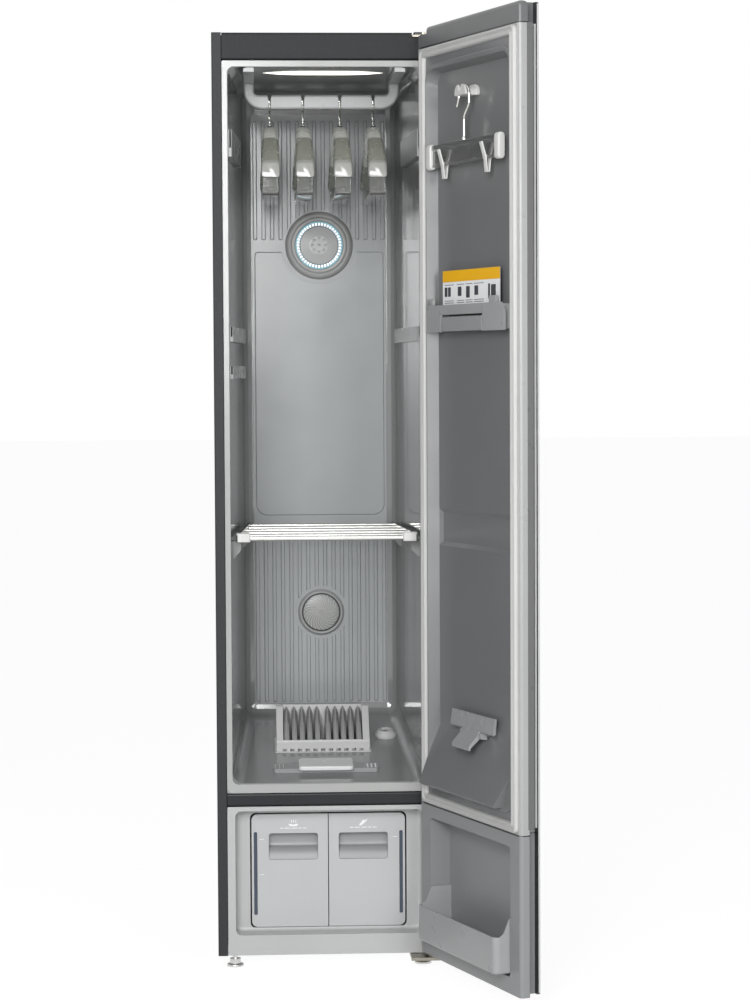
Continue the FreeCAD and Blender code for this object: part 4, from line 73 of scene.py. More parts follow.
# the cavity
FRONT = lowest("inner_liner", Y)
REAR_WALL = highest("steam_nozzle", Y)
CAVITY_DEPTH = REAR_WALL - FRONT
CAVITY_FLOOR = 369.0
FLOOR_RISE = 80
FLOOR_ANGLE = math.atan2(FLOOR_RISE, CAVITY_DEPTH)
CEILING = highest("ceiling_rails", Z)
MOUTH_HALF = 191.5
CAVITY_NARROWING = 27.5
SHELF_WALL_GAP = 9.5
OUTLET_HEIGHT = middle_of("air_outlet_bezel", Z)
NOZZLE_HEIGHT = middle_of("steam_nozzle", Z)
PORT_ACROSS = 130
PORT_ALONG = 308

# the hangers on their bar
HANGER_NUMBERS = (1, 2, 3, 4)
BAR_PLACE = middle_of("hanger_1_shoulder", Y)
HOOK_CENTRE = lowest("hanger_bar", Z) + 8.5
SHOULDER_TOP = highest("hanger_1_shoulder", Z)
SHOULDER_REACH = highest("hanger_1_shoulder", Y) - BAR_PLACE
SHOULDER_MIDDLE_DEPTH = 34
SHOULDER_TOP_DROP = 88
SHOULDER_LOWER_DROP = 85
SHOULDER_WIDTH = 28
SHOULDER_FLARE = 11 / 103  # width gained per millimetre further down

# the water tanks and the door
TANK_FRONT = lowest("supply_tank_front", Y)
DOOR_HINGE = next(joint for joint in frame["joints"] if joint["name"] == "door_hinge")
HINGE_X = DOOR_HINGE["pos_m"][X] / MM
HINGE_Y = DOOR_HINGE["pos_m"][Y] / MM
DOOR_ANGLE = math.radians(-DOOR_HINGE["range_deg"][0])
DOOR_INNER = 20.0


# ---- Materials -------------------------------------------------------
NOISE_LOW = 0.3
NOISE_HIGH = 0.7
PLASTIC_GRAIN = 0.0007
METAL_EDGE = 0.0005
CLEAR_IOR = 1.49


def colour(red, green, blue):
    """A colour written as 0 to 255 on a screen, as linear light."""
    linear = []
    for value in (red, green, blue):
        share = value / 255
        linear.append(share / 12.92 if share <= 0.04045 else ((share + 0.055) / 1.055) ** 2.4)
    return (*linear, 1.0)


class Shader:
    """A node material that grows one effect at a time. A value's name has _ for a space."""

    def __init__(self, name, base, roughness, metallic=0.0, **values):
        self.material = bpy.data.materials.new(name)
        self.material.use_nodes = True
        self.tree = self.material.node_tree
        self.shader = self.tree.nodes["Principled BSDF"]
        self.base = base
        self.set("Base Color", base)
        self.set("Roughness", roughness)
        self.set("Metallic", metallic)
        for socket, value in values.items():
            self.set(socket.replace("_", " "), value)
        self.place = self.node("ShaderNodeTexCoord").outputs["Object"]

    def set(self, socket, value):
        self.shader.inputs[socket].default_value = value

    def node(self, kind, **properties):
        made = self.tree.nodes.new(kind)
        for key, value in properties.items():
            setattr(made, key, value)
        return made

    def link(self, start, end):
        self.tree.links.new(start, end)

    def noise(self, grain, detail=3):
        """Noise whose spots are about grain metres wide."""
        noise = self.node("ShaderNodeTexNoise")
        noise.inputs["Scale"].default_value = 1 / grain
        noise.inputs["Detail"].default_value = detail
        self.link(self.place, noise.inputs["Vector"])
        return noise.outputs["Fac"]

    def ramp(self, source, low, high):
        """A number that goes from low to high over the noise's usual range."""
        ramp = self.node("ShaderNodeMapRange")
        ramp.inputs["From Min"].default_value = NOISE_LOW
        ramp.inputs["From Max"].default_value = NOISE_HIGH
        ramp.inputs["To Min"].default_value = low
        ramp.inputs["To Max"].default_value = high
        self.link(source, ramp.inputs["Value"])
        return ramp.outputs["Result"]

    def vary(self, source, amount):
        """The base colour a little darker and lighter over the surface."""
        mix = self.node("ShaderNodeMix", data_type="RGBA", blend_type="MULTIPLY")
        mix.inputs["Factor"].default_value = 1
        mix.inputs["A"].default_value = self.base
        shade = self.ramp(source, 1 - amount, 1 + amount)
        joined = self.node("ShaderNodeCombineColor")
        for channel in ("Red", "Green", "Blue"):
            self.link(shade, joined.inputs[channel])
        self.link(joined.outputs["Color"], mix.inputs["B"])
        self.link(mix.outputs["Result"], self.shader.inputs["Base Color"])

    def gloss(self, source, low, high):
        """Roughness from low to high over the surface."""
        self.link(self.ramp(source, low, high), self.shader.inputs["Roughness"])

    def soft_edges(self, radius):
        """Edges that catch the light as if rounded by a radius in metres."""
        bevel = self.node("ShaderNodeBevel", samples=4)
        bevel.inputs["Radius"].default_value = radius
        self.link(bevel.outputs["Normal"], self.shader.inputs["Normal"])

    def bump(self, source, height):
        """Relief of a height in metres, on top of the soft edges."""
        bump = self.node("ShaderNodeBump")
        bump.inputs["Distance"].default_value = height
        self.link(source, bump.inputs["Height"])
        earlier = self.shader.inputs["Normal"].links[0]
        self.link(earlier.from_socket, bump.inputs["Normal"])
        self.link(bump.outputs["Normal"], self.shader.inputs["Normal"])


def plastic(name, base, roughness, relief=0.000004, variation=0.02, edge=0.0008, shine=0.5,
            uneven=0.03):
    """Moulded plastic with a fine leathery grain and slightly uneven gloss."""
    made = Shader(name, base, roughness, Specular_IOR_Level=shine)
    made.soft_edges(edge)
    made.vary(made.noise(0.15, detail=4), variation)
    made.gloss(made.noise(0.05), roughness - uneven, roughness + uneven)
    made.bump(made.noise(PLASTIC_GRAIN, detail=2), relief)
    return made


def textured_steel(name, base):
    """Painted sheet with a fine wrinkle texture."""
    made = Shader(name, base, 0.55, Specular_IOR_Level=0.25)
    made.soft_edges(0.001)
    made.vary(made.noise(0.0014), 0.22)
    made.gloss(made.noise(0.002), 0.42, 0.66)
    made.bump(made.noise(0.0013), 0.00012)
    return made


def polished(name, base, roughness):
    """Plated or bright steel with faint streaks."""
    made = Shader(name, base, roughness, 1.0)
    made.soft_edges(METAL_EDGE)
    made.vary(made.noise(0.01), 0.04)
    made.gloss(made.noise(0.004), roughness * 0.8, roughness * 1.4)
    return made


def smoked(name, base, clear, roughness):
    """Clear moulding with a tint."""
    made = Shader(name, base, roughness, IOR=CLEAR_IOR, Transmission_Weight=clear)
    made.vary(made.noise(0.03), 0.03)
    made.gloss(made.noise(0.02, detail=4), roughness * 0.8, roughness * 1.4)
    return made


def glowing(name, base, strength):
    """A frosted light cover that glows."""
    made = Shader(name, base, 0.4, Emission_Strength=strength)
    made.set("Emission Color", base)
    made.gloss(made.noise(0.01), 0.35, 0.5)
    return made


# The record's names for its slots are kept, also where a shade came out lighter than its name.
FINISHES = {}


def finish(name, make, shade, *values, slot=None, **options):
    """A material under its name; the slot argument, the record's slot that it is or comes closest to, is not used.
    """
    FINISHES[name] = make(name, colour(*shade), *values, **options).material


def make_cabinet_finishes():
    """The case, the walls of the cavity and what is on them, and the machinery."""
    finish("steel_dark", textured_steel, (48, 49, 51))
    finish("header_dark", textured_steel, (30, 31, 33))
    finish("band_black", plastic, (34, 35, 39), 0.3, shine=0.3)
    finish("liner_grey", plastic, (136, 138, 138), 0.09, relief=0.000001, variation=0.03, edge=0.0015,
           shine=0.8, uneven=0.02)
    # Painted highlight: a lighter copy of the liner's grey for the flange round the mouth.
    finish("lip_painted_highlight", plastic, (170, 171, 170), 0.18, edge=0.0015, slot="liner_grey")
    finish("duct_cover_grey", plastic, (166, 169, 170), 0.16, edge=0.0009)
    finish("outlet_grey", plastic, (150, 151, 150), 0.34)
    finish("outlet_disc", plastic, (176, 177, 177), 0.3)
    finish("light_clear", plastic, (150, 160, 165), 0.2)
    finish("light_dash", glowing, (232, 246, 255), 1.0, slot="lens_white")
    finish("light_cyan", glowing, (120, 205, 225), 0.5, slot="light_clear")
    finish("nozzle_chrome", polished, (205, 205, 202), 0.16)
    finish("collar_grey", plastic, (164, 165, 165), 0.24, slot="outlet_grey")
    finish("vane_steel", plastic, (152, 153, 152), 0.32, slot="nozzle_chrome")
    # Painted highlight: the nozzle's chrome vanes in near-white plastic.
    finish("vane_painted_highlight", plastic, (232, 232, 230), 0.2, slot="nozzle_chrome")
    finish("lens_white", glowing, (255, 253, 245), 1.8)
    finish("rail_grey", plastic, (178, 179, 180), 0.35)
    finish("bracket_grey", plastic, (140, 142, 141), 0.25)
    finish("galvanised", polished, (176, 178, 180), 0.4)
    finish("foot_black", polished, (205, 205, 203), 0.2)
    finish("hinge_steel", polished, (150, 146, 136), 0.3)
    finish("trim_black", plastic, (28, 28, 30), 0.3)
    finish("kick_grey", plastic, (182, 183, 183), 0.36)
    finish("compressor_black", polished, (30, 30, 32), 0.4)
    finish("boiler_jacket", plastic, (190, 188, 180), 0.6)
    finish("fan_white", plastic, (220, 220, 218), 0.45)
    finish("duct_white", plastic, (222, 222, 220), 0.5)


def make_cavity_finishes():
    """What hangs, lies or slides in the cabinet."""
    finish("bar_grey", plastic, (170, 171, 172), 0.3, edge=0.0015)
    finish("wire_steel", polished, (220, 219, 214), 0.12)
    finish("wire_bright", polished, (236, 236, 232), 0.14, slot="wire_steel")
    finish("shoulder_grey", plastic, (214, 215, 208), 0.28)
    finish("shoulder_smoke", smoked, (176, 178, 166), 0.3, 0.22, slot="shoulder_grey")
    finish("shoulder_white", plastic, (158, 159, 155), 0.14, slot="shoulder_grey")
    finish("bar_smoke", smoked, (196, 197, 197), 0.92, 0.06)
    finish("rail_clear", smoked, (222, 223, 220), 0.93, 0.05, slot="bar_smoke")
    finish("clips_black", plastic, (226, 226, 224), 0.25)
    finish("shelf_steel", polished, (214, 214, 210), 0.2)
    finish("filter_grey", plastic, (196, 196, 196), 0.32)
    finish("mesh_dark", plastic, (146, 146, 146), 0.45)
    finish("port_grey", plastic, (196, 196, 196), 0.3)
    finish("aroma_black", plastic, (150, 151, 152), 0.12)
    finish("aroma_lid", plastic, (218, 219, 219), 0.25)
    finish("tank_front_grey", plastic, (186, 187, 188), 0.38)
    # Painted shade: a darker copy of the tank front's grey for the back of the finger grip.
    finish("grip_painted_shade", plastic, (150, 151, 152), 0.36, slot="tank_front_grey")
    finish("tank_smoke", smoked, (150, 152, 156), 0.5, 0.12)
    finish("window_blue", plastic, (62, 72, 88), 0.1, slot="glass_dark")
    finish("print_white", plastic, (238, 239, 240), 0.5, slot="aroma_lid")


def make_door_finishes():
    """The door and what it carries."""
    finish("glass_dark", plastic, (16, 18, 20), 0.06, relief=0.0000005)
    finish("door_grey", plastic, (168, 169, 169), 0.3)
    # Painted shade: a darker copy of the door's grey for the door's top cap.
    finish("cap_painted_shade", plastic, (104, 105, 106), 0.36, slot="door_grey")
    # Painted highlight: a lighter copy of the door's grey for the glass edge and the strip behind it.
    finish("edge_painted_highlight", plastic, (198, 200, 200), 0.2, slot="door_grey")
    # Painted shade: a darker copy of the door's grey on the grip lip.
    finish("lip_painted_shade", plastic, (104, 105, 104), 0.3, slot="door_grey")
    # Painted shade: a darker copy of the kick panel's grey for the door's lower panel.
    finish("lower_panel_painted_shade", plastic, (142, 143, 144), 0.36, slot="kick_grey")
    finish("door_liner_grey", plastic, (122, 123, 124), 0.22, edge=0.0015)
    finish("gasket_grey", plastic, (194, 194, 193), 0.45)
    finish("basket_smoke", plastic, (160, 161, 162), 0.3)
    finish("hook_grey", plastic, (214, 214, 212), 0.28)
    finish("holder_grey", plastic, (164, 165, 166), 0.3)
    finish("lever_grey", plastic, (156, 157, 158), 0.3)
    finish("clip_grey", plastic, (160, 161, 162), 0.26)
    finish("card_yellow", plastic, (252, 190, 20), 0.4, slot="holder_grey")
    finish("card_white", plastic, (248, 249, 250), 0.4, slot="holder_grey")
    finish("card_grey", plastic, (120, 124, 130), 0.5, slot="holder_grey")
    finish("print_dark", plastic, (58, 60, 66), 0.5, slot="trim_black")
    finish("spring_dark", polished, (70, 70, 72), 0.3, slot="foot_black")


def dress_nodes():
    """Each solid of the part in the finish of its slot; two of the door's take darker copies of their slot's
    finish, painted shade.
    """
    finish_of = {row["node"]: row["material_slot"] for row in frame["record"]["subparts"]}
    # The door's top cap and lower panel in darker copies of their slots' finishes, painted shade.
    finish_of["door_top_cap"] = "cap_painted_shade"
    finish_of["door_lower_panel"] = "lower_panel_painted_shade"
    for name, node in frame["nodes"].items():
        for place in node.material_slots:
            place.material = FINISHES[finish_of[name]]


# ---- Drawing ---------------------------------------------------------
# A place takes a drawing's three numbers and gives x, y and z in millimetres.
AXIS = 0.01  # the radius at which a turned profile meets its axis


def as_drawn(x, y, z):
    return (x, y, z)


def upright(across, height, depth):
    """A drawing on the cabinet's front: across is x, height is z and depth is y."""
    return (across, depth, height)


def rear_wall(across, height, proud):
    """A drawing on the cavity's rear wall, proud towards the front."""
    return (across, REAR_WALL - proud, height)


def outlet_place(across, height, proud):
    """A drawing round the middle of the air outlet."""
    return rear_wall(across, OUTLET_HEIGHT + height, proud)


def nozzle_place(across, height, proud):
    """A drawing round the middle of the steam nozzle."""
    return rear_wall(across, NOZZLE_HEIGHT + height, proud)


def cavity_floor(across, along, proud):
    """A drawing in the plane of the cavity's sloping floor."""
    return (across,
            FRONT + along * math.cos(FLOOR_ANGLE) - proud * math.sin(FLOOR_ANGLE),
            CAVITY_FLOOR + along * math.sin(FLOOR_ANGLE) + proud * math.cos(FLOOR_ANGLE))


def port_place(across, along, proud):
    """A drawing round the drain port's middle on the cavity's floor."""
    return cavity_floor(PORT_ACROSS + across, PORT_ALONG + along, proud)


def on_door(across, height, proud):
    """A drawing on the open door: across from the hinge, proud from the hinge plane."""
    cosine = math.cos(DOOR_ANGLE)
    sine = math.sin(DOOR_ANGLE)
    return (HINGE_X - across * cosine - proud * sine,
            HINGE_Y - across * sine + proud * cosine,
            height)


def arc_at(before, corner, after, radius):
    """The centre of the arc that rounds a corner, and its start and end seen from the centre."""
    back = (before - corner).normalized()
    ahead = (after - corner).normalized()
    half = back.angle(ahead) / 2
    reach = radius / math.tan(half)
    centre = corner + (back + ahead).normalized() * (radius / math.sin(half))
    return centre, corner + back * reach - centre, corner + ahead * reach - centre


def rounded(points, steps):
    """An outline whose points are (x, y) or (x, y, corner radius)."""
    outline = []
    for index, point in enumerate(points):
        corner = Vector(point[:2])
        if len(point) == 2:
            outline.append(tuple(corner))
            continue
        before = Vector(points[index - 1][:2])
        after = Vector(points[(index + 1) % len(points)][:2])
        centre, start, end = arc_at(before, corner, after, point[2])
        sweep = start.angle_signed(end)
        for step in range(steps + 1):
            turned = start.copy()
            turned.rotate(Matrix.Rotation(-sweep * step / steps, 2))
            outline.append(tuple(centre + turned))
    return outline


def rectangle(left, low, right, high, radius, steps=3):
    """A rectangle's outline with rounded corners."""
    return rounded(((left, low, radius), (right, low, radius), (right, high, radius),
                    (left, high, radius)), steps)


def route(points):
    """Points along an open line of (x, y, z, corner radius), with arcs at the corners."""
    steps = 8
    line = [Vector(points[0][:3])]
    for before, corner, after in zip(points, points[1:], points[2:]):
        centre, start, end = arc_at(Vector(before[:3]), Vector(corner[:3]), Vector(after[:3]),
                                    corner[3])
        turn = start.rotation_difference(end)
        for step in range(steps + 1):
            line.append(centre + Quaternion().slerp(turn, step / steps) @ start)
    line.append(Vector(points[-1][:3]))
    return line


def even(line, spacing):
    """Points at equal steps along a line."""
    lengths = [0.0]
    for start, end in zip(line, line[1:]):
        lengths.append(lengths[-1] + (end - start).length)
    count = round(lengths[-1] / spacing)
    points = []
    index = 0
    for number in range(count + 1):
        target = lengths[-1] * number / count
        while index < len(line) - 2 and lengths[index + 1] < target:
            index += 1
        share = (target - lengths[index]) / (lengths[index + 1] - lengths[index])
        points.append(line[index].lerp(line[index + 1], share))
    return points


def coil(centre, radius, start, end, turns, turn_steps):
    """Points along a coil that goes round a centre and is carried from start to end."""
    count = round(turns * turn_steps)
    points = []
    for step in range(count + 1):
        angle = math.tau * step / turn_steps
        points.append((centre[0] + math.cos(angle) * radius, centre[1] + math.sin(angle) * radius,
                       start + (end - start) * step / count))
    return points


class Form:
    """A mesh put together from prisms, lathes, lofts and tubes in a place of its own."""

    def __init__(self, place):
        self.place = place
        self.mesh = bmesh.new()

    def ring(self, points):
        return [self.mesh.verts.new(Vector(self.place(*point)) * MM) for point in points]

    def skin(self, rings, closed=False):
        """Faces between rings of points; closed joins the last to the first, without end faces."""
        made = [self.ring(points) for points in rings]
        pairs = list(zip(made, made[1:]))
        if closed:
            pairs.append((made[-1], made[0]))
        for lower, upper in pairs:
            count = len(lower)
            for index in range(count):
                after = (index + 1) % count
                self.mesh.faces.new((lower[index], lower[after], upper[after], upper[index]))
        if not closed:
            self.mesh.faces.new(reversed(made[0]))
            self.mesh.faces.new(made[-1])

    def prism(self, outline, low, high):
        """An outline carried from one depth to another."""
        self.skin([[(x, y, low) for x, y in outline], [(x, y, high) for x, y in outline]])

    def lathe(self, profile, steps=96, closed=False):
        """A profile of (radius, height) turned about the drawing's middle."""
        turns = [math.tau * step / steps for step in range(steps)]
        self.skin([[(radius * math.cos(turn), radius * math.sin(turn), height) for turn in turns]
                   for radius, height in profile], closed)

    def tube(self, points, radius, sides):
        """A round rod along points, with no twist."""
        line = [Vector(point) for point in points]
        turns = [math.tau * step / sides for step in range(sides)]
        rings = []
        side = None
        for index, point in enumerate(line):
            before = line[max(index - 1, 0)]
            after = line[min(index + 1, len(line) - 1)]
            along = (after - before).normalized()
            side = along.orthogonal() if side is None else side
            side = (side - along * side.dot(along)).normalized()
            other = along.cross(side)
            rings.append([point + (side * math.cos(turn) + other * math.sin(turn)) * radius
                          for turn in turns])
        self.skin(rings)

    def piece(self, name, finish_name, body, *nodes, bevel=0.0, angle=35, segments=2):
        """The finished object, riding on a body and standing for the CAD nodes named."""
        bmesh.ops.recalc_face_normals(self.mesh, faces=self.mesh.faces)
        data = bpy.data.meshes.new(name)
        self.mesh.to_mesh(data)
        self.mesh.free()
        data.shade_smooth()
        data.materials.append(FINISHES[finish_name])
        made = bpy.data.objects.new(name, data)
        bpy.context.collection.objects.link(made)
        if bevel:
            softened = made.modifiers.new("bevel", "BEVEL")
            softened.width = bevel * MM
            softened.segments = segments
            softened.limit_method = "ANGLE"
            softened.angle_limit = math.radians(angle)
            softened.harden_normals = True
        else:
            data.set_sharp_from_angle(angle=math.radians(angle))
        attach(made, body)
        if nodes:
            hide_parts(*nodes)


# ---- The cavity's walls: air outlet, steam nozzle, mouth, ceiling light and drain port 
def make_outlet():
    """The double ring of the bezel, the clear ring of light, its dashes and a line round them."""
    steps = 128
    bezel = Form(outlet_place)
    bezel.lathe(((51, 0), (51, 11.2), (51.8, 12), (57.5, 12), (59.6, 11.2), (60.6, 9.2), (61.8, 9),
                 (63, 10.2), (64.6, 10.4), (69, 8.4), (72, 5), (72.95, 3), (72.95, 0)),
                steps, closed=True)
    bezel.piece("air_outlet_rings", "outlet_grey", "cabinet", "air_outlet_bezel", angle=60)
    ring = Form(outlet_place)
    ring.lathe(((41, 0), (41, 6.4), (41.6, 7), (50.4, 7), (51, 6.4), (51, 0)), steps, closed=True)
    ring.piece("light_ring_cover", "light_clear", "cabinet", "air_outlet_light_ring", angle=60)

    dash_count = 44
    dash_start = 42.4
    dash_end = 48.2
    dash_half_width = 1.7
    narrowing = 0.85
    dashes = Form(outlet_place)
    for number in range(dash_count):
        turn = math.tau * number / dash_count
        out = Vector((math.cos(turn), math.sin(turn)))
        over = Vector((-out.y, out.x)) * dash_half_width
        start = out * dash_start
        end = out * dash_end
        dashes.prism([tuple(start - over * narrowing), tuple(end - over), tuple(end + over),
                      tuple(start + over * narrowing)], 6.8, 7.6)
    dashes.piece("light_ring_dashes", "light_dash", "cabinet")
    line = Form(outlet_place)
    line.lathe(((49.6, 6.8), (49.6, 7.5), (50.5, 7.5), (50.5, 6.8)), steps, closed=True)
    line.piece("light_ring_line", "light_cyan", "cabinet")


def make_nozzle():
    """A rounded collar, a dark gap, and a shallow dome with fine swirling vanes, the vanes painted lighter than
    the dome as highlights on the chrome.
    """
    collar = Form(nozzle_place)
    collar.lathe(((41.5, 0), (41.5, 6), (42.2, 9.6), (43.6, 11), (45.4, 10.6), (46.6, 8.4),
                  (48.2, 6.6), (49.6, 4), (50, 0)), closed=True)
    collar.piece("steam_nozzle_collar", "collar_grey", "cabinet", "steam_nozzle", angle=60)
    gap = Form(nozzle_place)
    gap.lathe(((37, 0.4), (37, 1.6), (41.6, 1.6), (41.6, 0.4)), closed=True)
    gap.piece("steam_nozzle_gap", "trim_black", "cabinet", angle=60)
    crown = 5.6
    dome = Form(nozzle_place)
    dome.lathe(((AXIS, 0.5), (AXIS, crown), (12, 5.2), (26, 4.2), (36, 3), (38.8, 1.9), (38.8, 0.5)))
    dome.piece("steam_nozzle_dome", "vane_steel", "cabinet", angle=60)

    vane_count = 26
    vane_steps = 9
    eye_radius = 5
    vane_length = 33
    swirl = 0.75
    fall = 2.8
    vanes = Form(nozzle_place)
    for number in range(vane_count):
        start = math.tau * number / vane_count
        rings = []
        for step in range(vane_steps + 1):
            share = step / vane_steps
            turn = start + swirl * share ** 1.4
            height = crown - fall * share ** 1.5
            out = Vector((math.cos(turn), math.sin(turn)))
            half_width = 0.4 + 0.9 * share
            over = Vector((-out.y, out.x)) * half_width
            middle = out * (eye_radius + vane_length * share)
            left = middle - over
            right = middle + over
            ridge = middle + over * 0.4
            rings.append([(left.x, left.y, height - 1), (right.x, right.y, height - 1),
                          (ridge.x, ridge.y, height + 1.8)])
        vanes.skin(rings)
    # The vanes' near-white is painted highlight.
    vanes.piece("steam_nozzle_vanes", "vane_painted_highlight", "cabinet", angle=30)


def make_mouth():
    """The flange round the mouth of the cavity, in a lighter copy of the liner's grey: painted highlight where its
    front faces the light.
    """
    corner = 12
    steps = 8
    behind = FRONT + 0.6
    before = FRONT - 0.3
    side = highest("inner_liner", X) - 0.3
    low = lowest("inner_liner", Z) + 0.4
    high = highest("inner_liner", Z) - 0.3
    inner = rectangle(-MOUTH_HALF, CAVITY_FLOOR, MOUTH_HALF, CEILING, corner, steps)
    outer = rectangle(-side, low, side, high, corner, steps)
    flange = Form(upright)
    flange.skin([[(x, z, depth) for x, z in outline] for outline, depth in
                 ((outer, behind), (outer, before), (inner, before), (inner, behind))], closed=True)
    flange.piece("liner_mouth_painted_highlight", "lip_painted_highlight", "cabinet", angle=40)


def make_lens():
    """The ceiling light's lens, thin and pointed at its ends."""
    middle = middle_of("ceiling_light_lens", Y)
    reach = highest("ceiling_light_lens", X)
    half_width = 6.5
    steps = 12
    rim_hang = 2.4
    face_hang = 3.4
    face_length = 0.98
    face_width = 0.7

    def edge(place, side):
        return (reach * place, middle + side * half_width * (1 - abs(place) ** 4))

    def belly(x):
        return 1 - (x / reach) ** 4

    outline = [edge(step / steps - 1, -1) for step in range(2 * steps + 1)]
    outline += [edge(1 - step / steps, 1) for step in range(1, 2 * steps)]
    lens = Form(as_drawn)
    lens.skin([[(x, y, CEILING) for x, y in outline],
               [(x, y, CEILING - rim_hang * belly(x) - 0.2) for x, y in outline],
               [(x * face_length, middle + (y - middle) * face_width,
                 CEILING - face_hang * belly(x) - 0.3) for x, y in outline]])
    lens.piece("ceiling_light_cover", "lens_white", "cabinet", "ceiling_light_lens", angle=50)


def make_port():
    """The dark grating down in the drain port's well."""
    radius = 13.6
    half_bar = 0.8
    grate = Form(port_place)
    grate.lathe(((AXIS, 5.2), (AXIS, 5.6), (radius, 5.6), (radius, 5.2)), steps=48)
    for place in (-10, -5, 5, 10):
        reach = math.sqrt(radius ** 2 - place ** 2) - 0.4
        grate.prism(rectangle(-reach, place - half_bar, reach, place + half_bar, 0.6), 5.5, 9)
    grate.piece("drain_port_grate", "spring_dark", "cabinet", bevel=0.2)


# ---- Hangers ---------------------------------------------------------
def make_hook(body, place):
    """Two wires twisted together and bent over the bar, with a dark collar at their foot."""
    bend = 9
    crown = 14.8
    half_width = 15
    line = even(route((
        (place, BAR_PLACE, SHOULDER_TOP - 1),
        (place, BAR_PLACE, SHOULDER_TOP + bend * 2, bend),
        (place, BAR_PLACE + half_width, HOOK_CENTRE - bend, bend),
        (place, BAR_PLACE + half_width, HOOK_CENTRE + half_width, crown),
        (place, BAR_PLACE - half_width, HOOK_CENTRE + half_width, crown),
        (place, BAR_PLACE - half_width, HOOK_CENTRE - 7))), 1.0)
    pitch = 15
    offset = 1.45
    wire_radius = 1.25
    side = Vector((1, 0, 0))
    wires = Form(as_drawn)
    for start in (0, math.pi):
        strand = []
        for index, point in enumerate(line):
            ahead = line[min(index + 1, len(line) - 1)]
            behind = line[max(index - 1, 0)]
            other = (ahead - behind).normalized().cross(side)
            turn = start + math.tau * index / pitch
            strand.append(point + (side * math.cos(turn) + other * math.sin(turn)) * offset)
        wires.tube(strand, wire_radius, 8)
    wires.piece(f"{body}_wires", "wire_bright", body, f"{body}_hook", angle=60)
    collar = Form(lambda across, along, up: (place + across, BAR_PLACE + along, SHOULDER_TOP + up))
    collar.lathe(((AXIS, -0.5), (5.2, -0.5), (5.2, 1.4), (4.4, 2.2), (AXIS, 2.2)), steps=32)
    collar.piece(f"{body}_collar", "print_dark", body)


def shoulder_ring(place, along):
    """The shoulder's section at a distance along it, wider towards its lower edge."""
    spread = abs(along) / SHOULDER_REACH
    tip_start = 0.96
    tip_length = 0.04
    tip_pinch = 0.3
    tip = max(0.0, (spread - tip_start) / tip_length)
    fullness = math.sqrt(1 - tip ** 2 * tip_pinch)
    high = SHOULDER_TOP - SHOULDER_TOP_DROP * spread ** 1.5
    low = SHOULDER_TOP - SHOULDER_MIDDLE_DEPTH - SHOULDER_LOWER_DROP * spread
    upper = (SHOULDER_WIDTH + SHOULDER_FLARE * (SHOULDER_TOP - high)) / 2 * fullness
    lower = (SHOULDER_WIDTH + SHOULDER_FLARE * (SHOULDER_TOP - low)) / 2 * fullness
    shrink = (high - low) * (1 - fullness) * 0.45
    outline = rounded(((-lower, low + shrink, 5), (lower, low + shrink, 5),
                       (upper, high - shrink, 9), (-upper, high - shrink, 9)), 5)
    return [(place + x, BAR_PLACE + along, z) for x, z in outline]


def make_shoulder(body, place):
    """The light neck, the smoked shoulders, the grey tips and the clear trouser rail."""

    def stretch(name, finish_name, start, end, *nodes):
        count = max(6, round((end - start) / 5))
        form = Form(as_drawn)
        form.skin([shoulder_ring(place, start + (end - start) * step / count)
                   for step in range(count + 1)])
        form.piece(f"{body}_{name}", finish_name, body, *nodes, angle=50)

    neck = SHOULDER_REACH * 0.48
    tip = SHOULDER_REACH * 0.95
    stretch("neck", "shoulder_grey", -neck, neck, f"{body}_shoulder")
    for side, name in ((-1, "near"), (1, "far")):
        stretch("smoke_" + name, "shoulder_smoke", *sorted((side * neck, side * tip)))
        stretch("tip_" + name, "shoulder_white", *sorted((side * tip, side * SHOULDER_REACH)))

    end = SHOULDER_REACH * 0.94 - 6
    shoulder_low = SHOULDER_TOP - SHOULDER_MIDDLE_DEPTH - SHOULDER_LOWER_DROP
    top = shoulder_low + 14
    low = shoulder_low - 32
    wall = 5
    half_width = 15.5
    rail = Form(lambda along, height, across: (place + across, BAR_PLACE + along, height))
    rail.prism(rounded(((-end, top), (-end, low, 8), (end, low, 8), (end, top), (end - wall, top),
                        (end - wall, low + wall, 3), (wall - end, low + wall, 3),
                        (wall - end, top)), 6), -half_width, half_width)
    rail.piece(f"{body}_rail", "rail_clear", body, bevel=1.2, segments=3)


# ---- Shelf -----------------------------------------------------------
def shelf_edge(depth):
    """Half the shelf's width at a depth behind the cabinet's front."""
    return MOUTH_HALF - CAVITY_NARROWING * depth / CAVITY_DEPTH - SHELF_WALL_GAP


